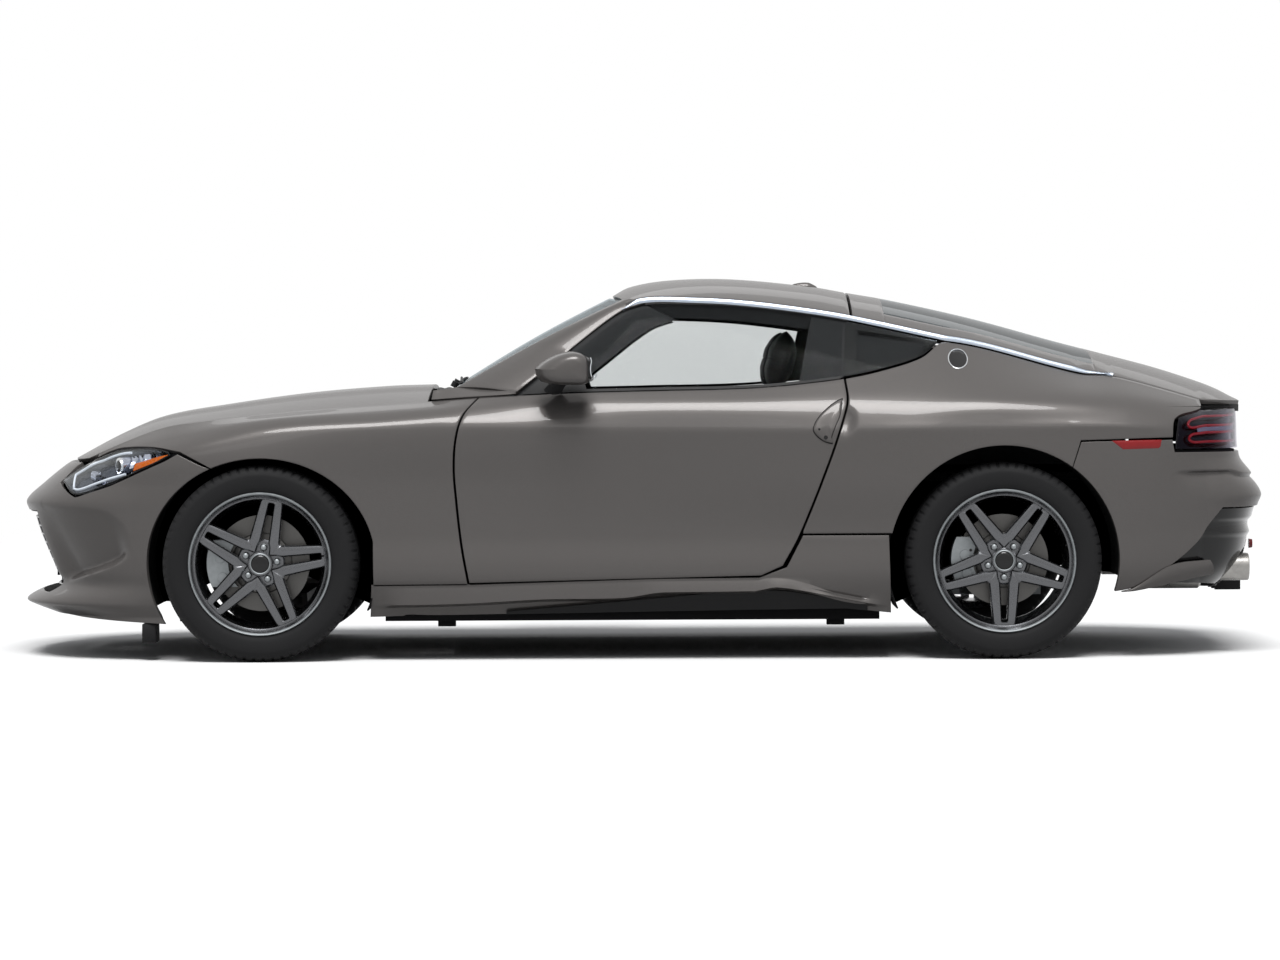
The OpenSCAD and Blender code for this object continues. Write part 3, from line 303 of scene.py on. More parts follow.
def panel(grid, thick=18.0, edge=2.5, out=(0, -1, 0)):
    """Closed panel: the skin, a round of radius edge at its border, and an inner skin thick behind it."""
    du, dv = np.gradient(grid, axis=0), np.gradient(grid, axis=1)
    normal = unit(np.cross(du, dv))
    if (normal * np.asarray(out, float)).sum(-1).mean() < 0:
        normal = -normal
    tu, tv = unit(du), unit(dv)
    skin = grid.copy()
    skin[0] += edge * tu[0]
    skin[-1] -= edge * tu[-1]
    skin[:, 0] += edge * tv[:, 0]
    skin[:, -1] -= edge * tv[:, -1]
    pad = lambda a: np.pad(a, ((3, 3), (3, 3), (0, 0)), mode="edge")
    m, n = grid.shape[0] + 6, grid.shape[1] + 6
    def ramp(count, values):
        r = np.zeros(count)
        r[:3], r[-3:] = values, values[::-1]
        return r
    sign = lambda count: np.where(np.arange(count) < count / 2, -1.0, 1.0)
    def grown(reach, depth):
        along, sideways = (ramp(m, reach) * sign(m))[:, None, None], (ramp(n, reach) * sign(n))[None, :, None]
        move = along * pad(tu) + sideways * pad(tv)
        down = np.maximum(ramp(m, depth)[:, None], ramp(n, depth)[None])[..., None]
        return pad(skin) + move, down
    top, down = grown(np.array([edge, edge, 0.7 * edge]), np.array([thick, edge, 0.3 * edge]))
    low, _ = grown(np.array([edge, 0.6 * edge, 0.3 * edge]), np.zeros(3))
    outer, inner = (top - down * pad(normal)).reshape(-1, 3), (low - thick * pad(normal)).reshape(-1, 3)
    number = np.arange(m * n).reshape(m, n)
    behind = number + m * n
    behind[0], behind[-1], behind[:, 0], behind[:, -1] = number[0], number[-1], number[:, 0], number[:, -1]
    back = behind.ravel()[quads(m, n)]
    used, faces = np.unique(np.concatenate([quads(m, n), back[:, [1, 0, 3, 2]]]), return_inverse=True)
    return outward((np.concatenate([outer, inner])[used], faces.reshape(-1, 4)))

def lathe(profile, n, closed=True):
    """Turns [radius, height] points about the wheel axis; its ends close at the axis or on themselves."""
    p, a = np.asarray(profile, float), circle(n)
    rings = stack(p[:, :1] * np.cos(a), p[:, :1] * np.sin(a), p[:, 1:])
    if closed:
        return outward((rings.reshape(-1, 3), quads(len(p), n, True, True)))
    return rounds(rings, [[0, 0, p[0, 1]], [0, 0, p[-1, 1]]])

def tube(path, radius, n=16, squash=(1.0, 1.0)):
    """Round or oval bar along a path, closed at both ends; radius may change from point to point."""
    p = np.asarray(path, float)
    t = unit(np.gradient(p, axis=0))
    up = np.where(np.abs(t[:, 2:]) > 0.9, [[1.0, 0, 0]], [[0, 0, 1.0]])
    a = unit(np.cross(t, up))
    b = np.cross(a, t)
    r = np.broadcast_to(np.asarray(radius, float), len(p))[:, None, None]
    w = circle(n)[None, :, None]
    ring = p[:, None] + r * (squash[0] * np.cos(w) * a[:, None] + squash[1] * np.sin(w) * b[:, None])
    return rounds(ring, p[[0, -1]])

def block(x0, x1, y0, y1, z0, z1, edge=4.0):
    """Box with every edge softened: a fine ball pushed out to eight corners."""
    a = np.linspace(-np.pi / 2, np.pi / 2, 9)
    a, b = a[:, None], circle(16) + np.pi / 16
    ball = stack(np.cos(a) * np.cos(b), np.cos(a) * np.sin(b), np.sin(a))
    low, high = np.array([x0, y0, z0], float), np.array([x1, y1, z1], float)
    corner = np.where(np.abs(ball) < 1e-6, 0, np.sign(ball)) * ((high - low) / 2 - edge)
    return outward((((low + high) / 2 + corner + edge * ball).reshape(-1, 3), quads(9, 16, False, True)))

print("a test panel has", len(panel(side(between(spread([[0, 300], [500, 300]], 20),
                                                  spread([[0, 800], [500, 800]], 20), 10)))[1]), "faces")

# %% [markdown]
# ## Finishes
# Every finish is a small node network read from object coordinates, so it stays with its
# piece when a door opens. A little class wraps a shader socket and turns plain arithmetic
# into Math nodes, and one method makes every other node from its type, settings and inputs.

# %% A socket that does arithmetic, and one way to make a node
class Value:
    """One output socket, with + - * / and their reflected forms as Math nodes."""
    def __init__(self, finish, socket):
        self.finish, self.socket = finish, socket

    def math(self, operation, a, b):
        return self.finish.node("ShaderNodeMath", {"operation": operation}, {0: a, 1: b})

    def __add__(self, other): return self.math("ADD", self, other)
    def __radd__(self, other): return self.math("ADD", other, self)
    def __sub__(self, other): return self.math("SUBTRACT", self, other)
    def __rsub__(self, other): return self.math("SUBTRACT", other, self)
    def __mul__(self, other): return self.math("MULTIPLY", self, other)
    def __rmul__(self, other): return self.math("MULTIPLY", other, self)
    def __truediv__(self, other): return self.math("DIVIDE", self, other)

class Finish:
    """A material being made, or the world's background."""
    def __init__(self, name, world=None):
        self.material = world or bpy.data.materials.new(name)
        self.material.use_nodes = True
        self.tree = self.material.node_tree
        self.tree.nodes.clear()
        self.out = self.tree.nodes.new("ShaderNodeOutputWorld" if world else "ShaderNodeOutputMaterial")
        self.place = self.node("ShaderNodeTexCoord", {}, {}, "Object")

    def node(self, kind, settings, sockets, output=0):
        """Makes a node: settings first, ramp stops among them, then the values or links of its sockets."""
        made = self.tree.nodes.new(kind)
        for key, value in settings.items():
            if key == "stops":
                for k, (at, colour) in enumerate(value):
                    stop = made.color_ramp.elements[k] if k < 2 else made.color_ramp.elements.new(at)
                    stop.position, stop.color = at, (*colour, 1)
            else:
                setattr(made, key, value)
        for key, value in sockets.items():
            if isinstance(value, Value):
                self.tree.links.new(value.socket, made.inputs[key])
            else:
                made.inputs[key].default_value = value
        return Value(self, made.outputs[output])

    def noise(self, scale, detail=4.0, rough=0.5, stretch=(1, 1, 1)):
        spot = self.node("ShaderNodeMapping", {}, {"Vector": self.place, "Scale": stretch})
        return self.node("ShaderNodeTexNoise", {}, {"Vector": spot, "Scale": scale, "Detail": detail,
                                                     "Roughness": rough})

    def ramp(self, factor, *stops):
        return self.node("ShaderNodeValToRGB", {"stops": stops}, {"Fac": factor})

    def mix(self, factor, a, b):
        return self.node("ShaderNodeMix", {"data_type": "RGBA"}, {0: factor, 6: a, 7: b}, 2)

    def bump(self, height, strength, distance):
        return self.node("ShaderNodeBump", {}, {"Height": height, "Strength": strength, "Distance": distance})

    def shade(self, **sockets):
        return self.node("ShaderNodeBsdfPrincipled", {}, {k.replace("_", " "): v for k, v in sockets.items()})

    def done(self, shader):
        self.tree.links.new(shader.socket, self.out.inputs["Surface"])
        return self.material

def colour(r, g, b):
    """A display colour, 0 to 255, as the linear values that a shader takes."""
    c = np.array([r, g, b]) / 255
    return (*np.where(c <= 0.04045, c / 12.92, ((c + 0.055) / 1.055) ** 2.4).tolist(), 1.0)

print("mid grey in linear light:", [round(c, 3) for c in colour(128, 128, 128)])

# %% [markdown]
# ### Car paint
# Metallic paint is a coloured layer with flakes under a clear coat. The flakes are a very
# fine noise that tips the base layer's normal and changes its brightness a little, and the
# coat above stays smooth. A larger, faint noise breaks the evenness as real panels do.

# %% Paint, bright strip, alloy and other metals
def paint():
    """Metallic paint: fine flakes in a warm grey under a clear coat."""
    f = Finish("warm_grey_paint")
    flake = f.noise(2600.0, 1.0)
    cloud = f.noise(2.2, 3.0)
    tone = f.mix(cloud, colour(80, 77, 76), colour(85, 82, 81))
    base = f.mix(f.ramp(flake, (0.35, (0, 0, 0)), (0.72, (1, 1, 1))), tone, colour(110, 107, 105))
    normal = f.bump(flake, 0.06, 0.0004)
    return f.done(f.shade(Base_Color=base, Metallic=0.3, Roughness=0.32 + cloud * 0.03, Normal=normal,
                          Specular_IOR_Level=0.0, Coat_Weight=0.34, Coat_Roughness=0.03, Coat_IOR=1.5))

def metal(name, dark, light, rough, spread_of=0.08, scale=90.0, stretch=(1, 1, 1), coat=0.0):
    """Metal whose tone and roughness follow one stretched noise, as brushing or casting does."""
    f = Finish(name)
    grain = f.noise(scale, 6.0, 0.6, stretch)
    return f.done(f.shade(Base_Color=f.mix(grain, dark, light), Metallic=1.0,
                          Roughness=(rough - spread_of / 2) + grain * spread_of, Coat_Weight=coat,
                          Coat_Roughness=0.05, Normal=f.bump(grain, 0.12, 0.0003)))

def plastic(name, dark, light, rough, grain_scale=900.0, depth=0.0003, strength=0.3, coat=0.0, sheen=0.0):
    """Moulded plastic, leather or cloth: a fine grain in the surface and a slow change of tone."""
    f = Finish(name)
    grain = f.node("ShaderNodeTexVoronoi", {}, {"Vector": f.place, "Scale": grain_scale}, "Distance")
    slow = f.noise(14.0, 5.0)
    return f.done(f.shade(Base_Color=f.mix(slow, dark, light), Roughness=(rough - 0.05) + slow * 0.1,
                          Specular_IOR_Level=0.2 + 0.3 * coat, Coat_Weight=coat, Sheen_Weight=sheen,
                          Normal=f.bump(grain, strength, depth)))

def glass(name, tint, strength):
    """Thin window glass: clear with a tint. Its mirror's share is strength * facing ** 4, which is
    nothing seen square on and grows towards the edge of view."""
    f = Finish(name)
    facing = f.node("ShaderNodeLayerWeight", {}, {"Blend": 0.5}, "Facing")
    edge = facing * facing
    tone = f.mix(f.noise(1.2, 2.0), tint, (*(0.97 * c for c in tint[:3]), 1))
    clear = f.node("ShaderNodeBsdfTransparent", {}, {"Color": tone})
    mirror = f.shade(Base_Color=(0.8, 0.82, 0.83, 1), Metallic=1.0, Roughness=0.02)
    return f.done(f.node("ShaderNodeMixShader", {}, {0: edge * edge * strength, 1: clear, 2: mirror}))

PAINT = paint()
STRIP = metal("satin_strip", colour(150, 160, 174), colour(190, 198, 208), 0.28, 0.06, 300.0, (0.1, 1, 1))
ALLOY = metal("graphite_alloy", colour(74, 75, 77), colour(102, 103, 106), 0.27, 0.1, 240.0, (1, 1, 1), 0.5)
BRIGHT = metal("bright_steel", colour(180, 182, 184), colour(214, 216, 218), 0.22, 0.1, 160.0)
DISC = metal("turned_iron", colour(70, 69, 68), colour(104, 103, 101), 0.4, 0.12, 420.0)
CAST = metal("cast_aluminium", colour(118, 122, 124), colour(150, 154, 156), 0.5, 0.16, 60.0)
STEEL = metal("underbody_steel", colour(38, 38, 39), colour(62, 61, 60), 0.55, 0.2, 24.0)
EXHAUST = metal("exhaust_steel", colour(120, 118, 116), colour(172, 170, 166), 0.3, 0.2, 40.0)
BOWL = metal("lamp_bowl", colour(46, 49, 56), colour(88, 92, 102), 0.22, 0.08, 26.0)
MIRROR = metal("mirror_silver", colour(200, 204, 208), colour(206, 210, 214), 0.04, 0.01, 5.0)
print("metals made:", len(bpy.data.materials))

# %% Plastics, cloth, glass and lamp parts
GLOSS = plastic("gloss_black", colour(9, 9, 10), colour(15, 15, 16), 0.2, 300.0, 0.0001, 0.05, 0.2)
BLACK = plastic("grained_black", colour(20, 20, 21), colour(34, 34, 35), 0.62, 1100.0)
# Near-black felt is the arch liners' own colour; on the floor pan and on the strips and shelves that close
# gaps it is painted shade.
LINER_AND_SHADE = plastic("liner_felt_and_painted_shade", colour(4, 4, 5), colour(9, 9, 11), 0.95, 700.0, 0.0006, 0.4)
TRIM = plastic("cabin_trim", colour(18, 19, 21), colour(27, 28, 30), 0.58, 800.0)
LEATHER = plastic("seat_leather", colour(20, 20, 22), colour(32, 31, 33), 0.46, 520.0, 0.0005, 0.35, 0.0, 0.2)
CARPET = plastic("cabin_carpet", colour(16, 16, 17), colour(28, 28, 29), 0.95, 420.0, 0.001, 0.8, 0.0, 0.3)
HEADLINER = plastic("headliner_cloth", colour(30, 30, 30), colour(40, 40, 39), 0.9, 1200.0, 0.0004, 0.4)
SEAL = plastic("window_rubber", colour(8, 8, 9), colour(14, 14, 15), 0.5, 900.0, 0.0002, 0.2)
RED = plastic("red_marker", colour(126, 8, 14), colour(160, 14, 20), 0.16, 180.0, 0.0005, 0.3, 0.2)
AMBER = plastic("amber_marker", colour(196, 84, 6), colour(226, 112, 20), 0.16, 180.0, 0.0005, 0.3, 0.2)
PLATE = plastic("blank_plate", colour(196, 198, 196), colour(208, 210, 208), 0.45, 60.0, 0.0002, 0.1)
WINDOW = glass("window_glass", (0.88, 0.89, 0.89, 1), 0.6)
SCREEN_GLASS = glass("screen_glass", (0.56, 0.62, 0.645, 1), 0.3)
DARK_GLASS = glass("dark_glass", (0.20, 0.245, 0.265, 1), 0.5)
LENS = glass("lamp_lens", (0.96, 0.97, 0.98, 1), 0.6)
SMOKED = glass("smoked_lens", (0.70, 0.68, 0.74, 1), 0.6)

def rubber():
    """Tyre rubber: dull black with a fine grain and a dusting of grey."""
    f = Finish("tyre_rubber")
    fine, dust = f.noise(700.0, 3.0), f.noise(20.0, 6.0, 0.65)
    return f.done(f.shade(Base_Color=f.mix(dust, colour(10, 10, 11), colour(19, 19, 21)),
                          Roughness=0.62 + dust * 0.16, Specular_IOR_Level=0.25,
                          Normal=f.bump(fine, 0.35, 0.0004)))

def lit(name, dark, light, glow):
    """A lamp's element: coloured, glossy and with a faint light of its own."""
    f = Finish(name)
    cell = f.node("ShaderNodeTexVoronoi", {}, {"Vector": f.place, "Scale": 260.0}, "Distance")
    return f.done(f.shade(Base_Color=f.mix(cell, dark, light), Roughness=0.15, Coat_Weight=1.0,
                          Emission_Color=dark, Emission_Strength=glow, Normal=f.bump(cell, 0.4, 0.0006)))

HEATER_WIRE = metal("heater_wire", colour(60, 44, 34), colour(86, 62, 46), 0.5, 0.1, 60.0)
RUBBER = rubber()
TAIL_RED = lit("tail_red", colour(160, 12, 18), colour(200, 30, 34), 0.5)
DAY_LIGHT = lit("day_light", colour(206, 212, 220), colour(236, 240, 246), 0.35)
REFLECTOR = metal("lamp_reflector", colour(150, 152, 168), colour(214, 216, 222), 0.12, 0.05, 30.0)
print("finishes made:", len(bpy.data.materials))

# %% [markdown]
# ### Pieces
# A finished piece sits at the origin with its place in its mesh, like the frame's own nodes,
# and rides on one body of the frame. Where it stands for a frame node, that node is hidden.

# %% Turn a part into a piece
def piece(name, part, body, finish, replaces=(), angle=38.0):
    """Makes a piece that rides on a body and stands for some nodes; edges over angle stay sharp."""
    v, f = part
    mesh = bpy.data.meshes.new(name)
    mesh.from_pydata(v * 0.001, [], [q[:3] if q[2] == q[3] else q for q in f.tolist()])
    mesh.polygons.foreach_set("use_smooth", np.ones(len(mesh.polygons), bool))
    mesh.set_sharp_from_angle(angle=float(np.radians(angle)))
    mesh.materials.append(finish)
    obj = bpy.data.objects.new(name, mesh)
    bpy.context.scene.collection.objects.link(obj)
    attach(obj, body)
    if replaces:
        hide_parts(*replaces)
    print(f"{name}: {len(f)} faces on {body}")
    return obj

# %% [markdown]
# ## Body panels
# A real body side is stamped in a few large panels. Each panel here is a grid in the side
# view, drawn between the shut lines that bound it, and then laid on the body's surface. The
# wing and the quarter run from the wheel arch out to their borders, so that their mesh lines
# follow the arch as the reflections do.

# %% Shut lines in the side view
DOOR_FRONT = curve([[-592, 264], [-616, 401], [-633, 555], [-640, 657], [-633, 760], [-609, 842],
                    [-558, 903]], 64)
DOOR_REAR = curve([[489, 320], [548, 429], [650, 686], [695, 822], [712, 891], [705, 962]], 64)
GAP = 3.5

def arch(x, rise, a0, a1, n):
    """Wheel arch outline: part of a circle whose upper half is as high as rise."""
    a = np.radians(np.linspace(a0, a1, n + 1))
    return stack(x + ARCH_R * np.cos(a), TYRE_R + np.where(np.sin(a) > 0, rise, ARCH_R) * np.sin(a))

def edge_line(x0, x1, n, drop=1.0):
    """Points on the upper edge of the side, drop below it."""
    x = np.linspace(x0, x1, n + 1)
    return stack(x, edge_z(x) - drop)

front_lip = arch(FRONT_X, TYRE_R + 25, 115, 12, 72)
wing_low = np.array([FRONT_X + np.sqrt(ARCH_R**2 - (TYRE_R - 262)**2), 262])
wing_seam = curve([[-1890, 700], [-1838, 723], [-1786, 736], [-1678, 738], [-1600, 726], [-1580, 722]], 24)
wing_inner = joined(wing_seam, spread([wing_seam[-1], front_lip[0]], 10), front_lip,
                    spread([front_lip[-1], wing_low], 8))
wing_outer = joined(edge_line(-1886, -1650, 24), edge_line(-1650, -1560, 10), edge_line(-1560, -572, 32),
                    spread([[-572, edge_z(-572) - 1], DOOR_FRONT[-1] - [GAP, 1]], 2),
                    spread(DOOR_FRONT[::-1] - [GAP, 0], 46))
piece("wings", both(panel(side(between(wing_inner, wing_outer, 36)), 16)), "root", PAINT,
      ["front_wings"])

# %% Doors: outer skin, stepped jamb and the trim card inside
def door_grid(g, n=84, m=56):
    """The door's outline drawn in by g: belt, bottom and the two curved ends."""
    f, r = spread(DOOR_FRONT + [g, 0], m), spread(DOOR_REAR - [g, 0], m)
    lift = np.linspace(1, 0, m + 1)[:, None] * [0, g]
    low = joined(spread([f[0], [411, 286]], n - 16), spread([[411, 286], r[0]], 16))
    belt = spread(np.concatenate([f[-1:], edge_line(-400, 640, 8), r[-1:]]), n)
    return coons(low + [0, g], belt, f + lift, r + lift)

door_skin = door_grid(GAP)
card = door_grid(GAP + 26, 40, 24)
door_shell = panel(side(door_skin), 16)
jamb_grid = door_grid(GAP + 15, 40, 24)
def depth(g, base):
    """Depth of the door's inside: base down to half height, and from there a third less at the belt."""
    return base * (1.32 - 0.64 * np.linspace(0, 1, len(g)).clip(0.5)[:, None])

def shelf_on_card(z, tall, x0, x1, fade):
    """Raised part of the trim card about height z, fading out over its ends."""
    x = card[..., 0]
    ends = step(x0, x0 + 100, x) * (1 - step(x1, x1 + fade, x))
    return np.exp(-((card[..., 1] - z) / tall) ** 4) * ends

door_jamb = shell(side(jamb_grid, 17), side(jamb_grid, depth(jamb_grid, 74)))
armrest = 34 * shelf_on_card(600, 38, -480, 430, 90)
pocket = 14 * shelf_on_card(400, 50, -520, 160, 100)
card_deep = np.minimum(depth(card, 80) + armrest + pocket, 112)
door_card = shell(side(card, 60), side(card, card_deep))
for hand, turn in HANDS:
    piece(f"door_{hand}_skin", turn(door_shell), f"door_{hand}", PAINT, [f"door_{hand}"])
    piece(f"door_{hand}_jamb", turn(door_jamb), f"door_{hand}", PAINT)
    piece(f"door_{hand}_card", turn(door_card), f"door_{hand}", TRIM, angle=60)

# %% Rear quarters, from the arch up to the window and the strip
rear_lip = arch(REAR_X, ARCH_R, 166, 54, 96)
quarter_aft = joined(spread([[1477.2, 656.6], [1507, 748]], 10), spread([[1507, 748], [1828, 756]], 30))
quarter_foot = np.array([[552.5 + GAP, 432.0]])
quarter_rear = curve([[1946, 882], [1944, 858], [1915, 846], [1862, 834], [1836, 815], [1828, 756]], 22)
quarter_outer = joined(np.concatenate([quarter_foot, spread(DOOR_REAR[13:] + [GAP, 0], 36)]),
                       edge_line(708.5, 1062, 24), edge_line(1062, 1644, 28, 3), edge_line(1644, 1946, 14, 1),
                       quarter_rear)
quarter_inner = spread(rear_lip, len(quarter_outer) - 1)
quarter_aft[0] = quarter_inner[-1]
quarter = coons(quarter_inner, quarter_outer, spread([quarter_inner[0], quarter_outer[0]], 40), quarter_aft)
scoop_at = np.array([700.0, 818.0])
scoop = np.exp(-(((quarter[..., 0] - scoop_at[0]) / 34) ** 2
                 + ((quarter[..., 1] - scoop_at[1]) / 44) ** 2) ** 2)
piece("quarters", both(panel(side(quarter, 15 * scoop), 16)), "root", PAINT, ["rear_quarters"])

# %% Side skirts with a blade along the foot
skirt_fore = FRONT_X + np.sqrt(ARCH_R**2 - 137**2) + 4
skirt_aft = REAR_X - np.sqrt(ARCH_R**2 - 37**2) - 2
skirt_low = joined(spread([[skirt_fore, 150], [-294, 160], [370, 170]], 64),
                   spread([[370, 170], [500, 171]], 6), spread([[500, 171], [556, 172]], 8),
                   spread([[556, 172], [705, 173], [skirt_aft + 8, 158]], 22))
skirt_top = joined(spread([[skirt_fore + 6, 258], [-592, 260], [62, 279], [405, 281]], 64),
                   spread([[405, 281], [500, 318]], 6), spread([[500, 318], [556, 426]], 8),
                   spread([[556, 426], [skirt_aft, 426]], 22))
BLADE_LINE = [[-917, 186], [-609, 192], [-329, 206], [-58, 210], [62, 228], [411, 245], [510, 240],
              [773, 189], [860, 176]]
CREST_LINE = [[-914, 246], [-597, 250], [62, 262], [411, 268], [520, 262], [700, 205], [860, 190]]

def skirt_level(line, lift, share):
    """Points where the skirt's columns cross a lifted height line, kept a share below the top edge."""
    x = (skirt_low[:, 0] + skirt_top[:, 0]) / 2
    tall = skirt_top[:, 1] - skirt_low[:, 1]
    z = np.minimum(smooth(line, x) + lift, skirt_top[:, 1] - share * tall)
    k = ((z - skirt_low[:, 1]) / tall)[:, None]
    return skirt_low * (1 - k) + skirt_top * k

levels = [skirt_low, skirt_level(BLADE_LINE, -6, 0.5), skirt_level(BLADE_LINE, 5, 0.4),
          skirt_level(CREST_LINE, 14, 0.06), skirt_top]
bands = [between(low, high, n) for low, high, n in zip(levels, levels[1:], (6, 4, 12, 10))]
skirt = joined(*bands)
recess = np.concatenate([np.full(7, 1.0), np.linspace(0.75, 0, 4), np.zeros(22)])
ledge = np.concatenate([np.zeros(7), np.linspace(0.25, 1, 4), np.linspace(1, 0, 13)[1:], np.zeros(10)])
reach_x = step(-914, -800, skirt[..., 0]) * (1 - step(740, 840, skirt[..., 0]))
skirt_in = (30 * recess - 19 * ledge)[:, None] * reach_x
piece("skirts", both(panel(side(skirt, skirt_in), 14)), "root", PAINT, ["side_skirts"])
blade_foot = skirt_low[(skirt_low[:, 0] > -470) & (skirt_low[:, 0] < 784)]
blade_x, blade_z = blade_foot.T
blade_top = smooth([[-470, 166], [-200, 189], [62, 212], [300, 231], [493, 234], [784, 184]], blade_x)
skirt_foot = between(blade_foot, stack(blade_x, np.maximum(blade_top, blade_z + 2)), 8)
piece("skirt_blades", both(shell(side(skirt_foot, 16.0), side(skirt_foot, 29.0))), "root", BLACK)

# %% [markdown]
# ### Bonnet, roof, hatch and strip
# The top panels are drawn from side to side: a share from the middle to the edge and a share
# from front to back. Their crown is a power curve, flat in the middle and falling to the edge.

# %% Bonnet with its raised centre
BONNET_REAR, BONNET_TIP, BONNET_CORNER = -736, -2012, -1925

def bonnet_point(u, v):
    """Bonnet at share u across, -1 to 1, and v from nose to windshield."""
    w = np.abs(u)
    side_x = BONNET_CORNER + (BONNET_REAR - BONNET_CORNER) * v
    x = side_x + (BONNET_TIP + (BONNET_REAR - BONNET_TIP) * v - side_x) * (1 - w**2.6)
    y = breadth(side_x, edge_z(side_x) - 1) - 6.5
    ridge = 9 * (1 - step(0.36, 0.56, w)) * step(0.0, 0.3, v)
    fall = (smooth(CENTRE_Z, side_x) - edge_z(side_x)) * w**2.2
    return stack(x, u * y, smooth(CENTRE_Z, x) - fall + ridge - 9 * step(0, 0.3, v))

across = np.linspace(-1, 1, 97)[None]
top = np.linspace(0, 1, 81)[:, None] ** 1.1
piece("bonnet_skin", panel(bonnet_point(across, top), 16, out=(0, 0, 1)), "bonnet", PAINT,
      ["bonnet"])

# %% Roof panel, windshield surround and pillars
def roof_point(u, v, drop=0.0):
    """Roof at share u across and v from the windshield to the hatch."""
    x0 = -98 + 50 * u**2
    x = x0 + (730.5 - x0) * v
    crown = smooth(ROOF_Z, x)
    fall = (crown - smooth(RAIL_Z, x) - 20) * np.abs(u)**2.4
    return stack(x, (smooth(RAIL_Y, x) - 6) * u, crown - fall - drop)

def screen_edge(t):
    """Windshield's side edge from its foot, 0, to the roof, 1."""
    return stack(-632 + 577 * t, 690 - 128 * t, 936 + 304 * t + 10 * np.sin(np.pi * t))

def screen_point(u, v, out=0.0):
    """Windshield at share u across and v up, moved out by out."""
    e = screen_edge(v)
    c = stack(-652 + 546 * v, 0, 944 + 309 * v + 12 * np.sin(np.pi * v))
    w = (1 - np.abs(u)**2.2)[..., None]
    p = e * [1, 0, 1] * (1 - w) + c * w
    return stack(p[..., 0] - 0.5 * out, e[..., 1] * u, p[..., 2] + 0.87 * out)

roof_across = np.linspace(-1, 1, 81)[None]
roof_skin = panel(roof_point(roof_across, np.linspace(0, 1, 61)[:, None]), 26, 3.0, out=(0, 0, 1))
pillar_edge = curve([[-428, 920], [-246, 1064], [-69, 1198], [17, 1229]], 40)
front_edge = screen_edge(np.linspace(0, 1, 41)) * [1, -1, 1] + [-3, 0, 3]
glass_side = on_window(pillar_edge)
share = np.linspace(0, 1, 13)[None, :, None]
pillar = front_edge[:, None] * (1 - share) + glass_side[:, None] * share
pillar += np.sin(np.pi * share) * np.array([-5.0, -9.0, 7.0])
pillar_skin = panel(pillar, 26, 2.0, out=(-0.3, -1, 0.5))
foot_x = np.linspace(-722, -428, 18)
foot_low = stack(foot_x, -smooth(EDGE_Y, foot_x) + 1, edge_z(foot_x) + 5)
foot_top = stack(*[np.interp(np.linspace(0, 1, 18), [0, 0.3, 1], c) for c in
                   ([-716, -634, -428], [-692, -689, -smooth(EDGE_Y, -428)], [928, 939, 924])])
pillar_foot = between(foot_low, foot_top, 6)
piece("roof_skin", roof_skin, "root", PAINT, ["roof"])
piece("pillars", both(pillar_skin), "root", PAINT)
piece("pillar_feet", both(panel(pillar_foot, 10, 1.0, out=(0, -0.4, 1))), "root", PAINT)

# %% Bright strip over the windows, and the dark rail under it
WINDOW_TAIL, STRIP_END, HATCH_CORNER = 1062, 1644, 1958

def strip_foot(x):
    """Foot of the strip: the window rail, then the top edge of the quarter."""
    over = x < WINDOW_TAIL
    y = np.where(over, smooth(RAIL_Y, x), breadth(x, edge_z(x)))
    return y, np.where(over, smooth(RAIL_Z, x), edge_z(x))

def strip_tall(x):
    """Height of the strip, which runs out to a thin tip at its rear end."""
    return 20 * np.clip((1660 - x) / 150, 0.04, 1)

sx = np.concatenate([np.linspace(-60, 20, 12), np.linspace(32, STRIP_END, 140)])
sy, sz = strip_foot(sx)
tall = strip_tall(sx) * np.clip((sx + 70) / 60, 0.15, 1)
up = np.linspace(0, 1, 7)[None]
bulge = 3.0 * np.sin(np.pi * up)
strip = stack(sx[:, None], -(sy[:, None] - 6 * up + bulge), sz[:, None] + 1 + (tall[:, None] - 1) * up)
piece("bright_strips", both(panel(strip, 8, 1.2)), "root", STRIP)
rail_x = np.linspace(-40, 718, 60)
ry, rz = strip_foot(rail_x)
rail_out = stack(rail_x[:, None], -(ry[:, None] - 9 - 2 * up), rz[:, None] + 4 + 12 * up)
rail = shell(rail_out, rail_out + np.array([0, 44.0, -6.0]))
piece("roof_rails", both(rail), "root", SEAL)

# %% Hatch: a painted frame round its glass, and a lip at the back
def hatch_point(x, u, drop=0.0):
    """Hatch at place x and share u across, moved down by drop."""
    xe = np.minimum(x, HATCH_CORNER)
    y, z = strip_foot(xe)
    z = z + strip_tall(xe) * (xe < STRIP_END)
    past = np.maximum(x - HATCH_CORNER, 0) / 150
    zc = smooth(HATCH_Z, x)
    fall = (zc - np.minimum(z - 4 * past, zc)) * np.abs(u)**2.4
    return stack(x, u * (y - 23) * (1 - 0.27 * past**2), zc - fall - drop)

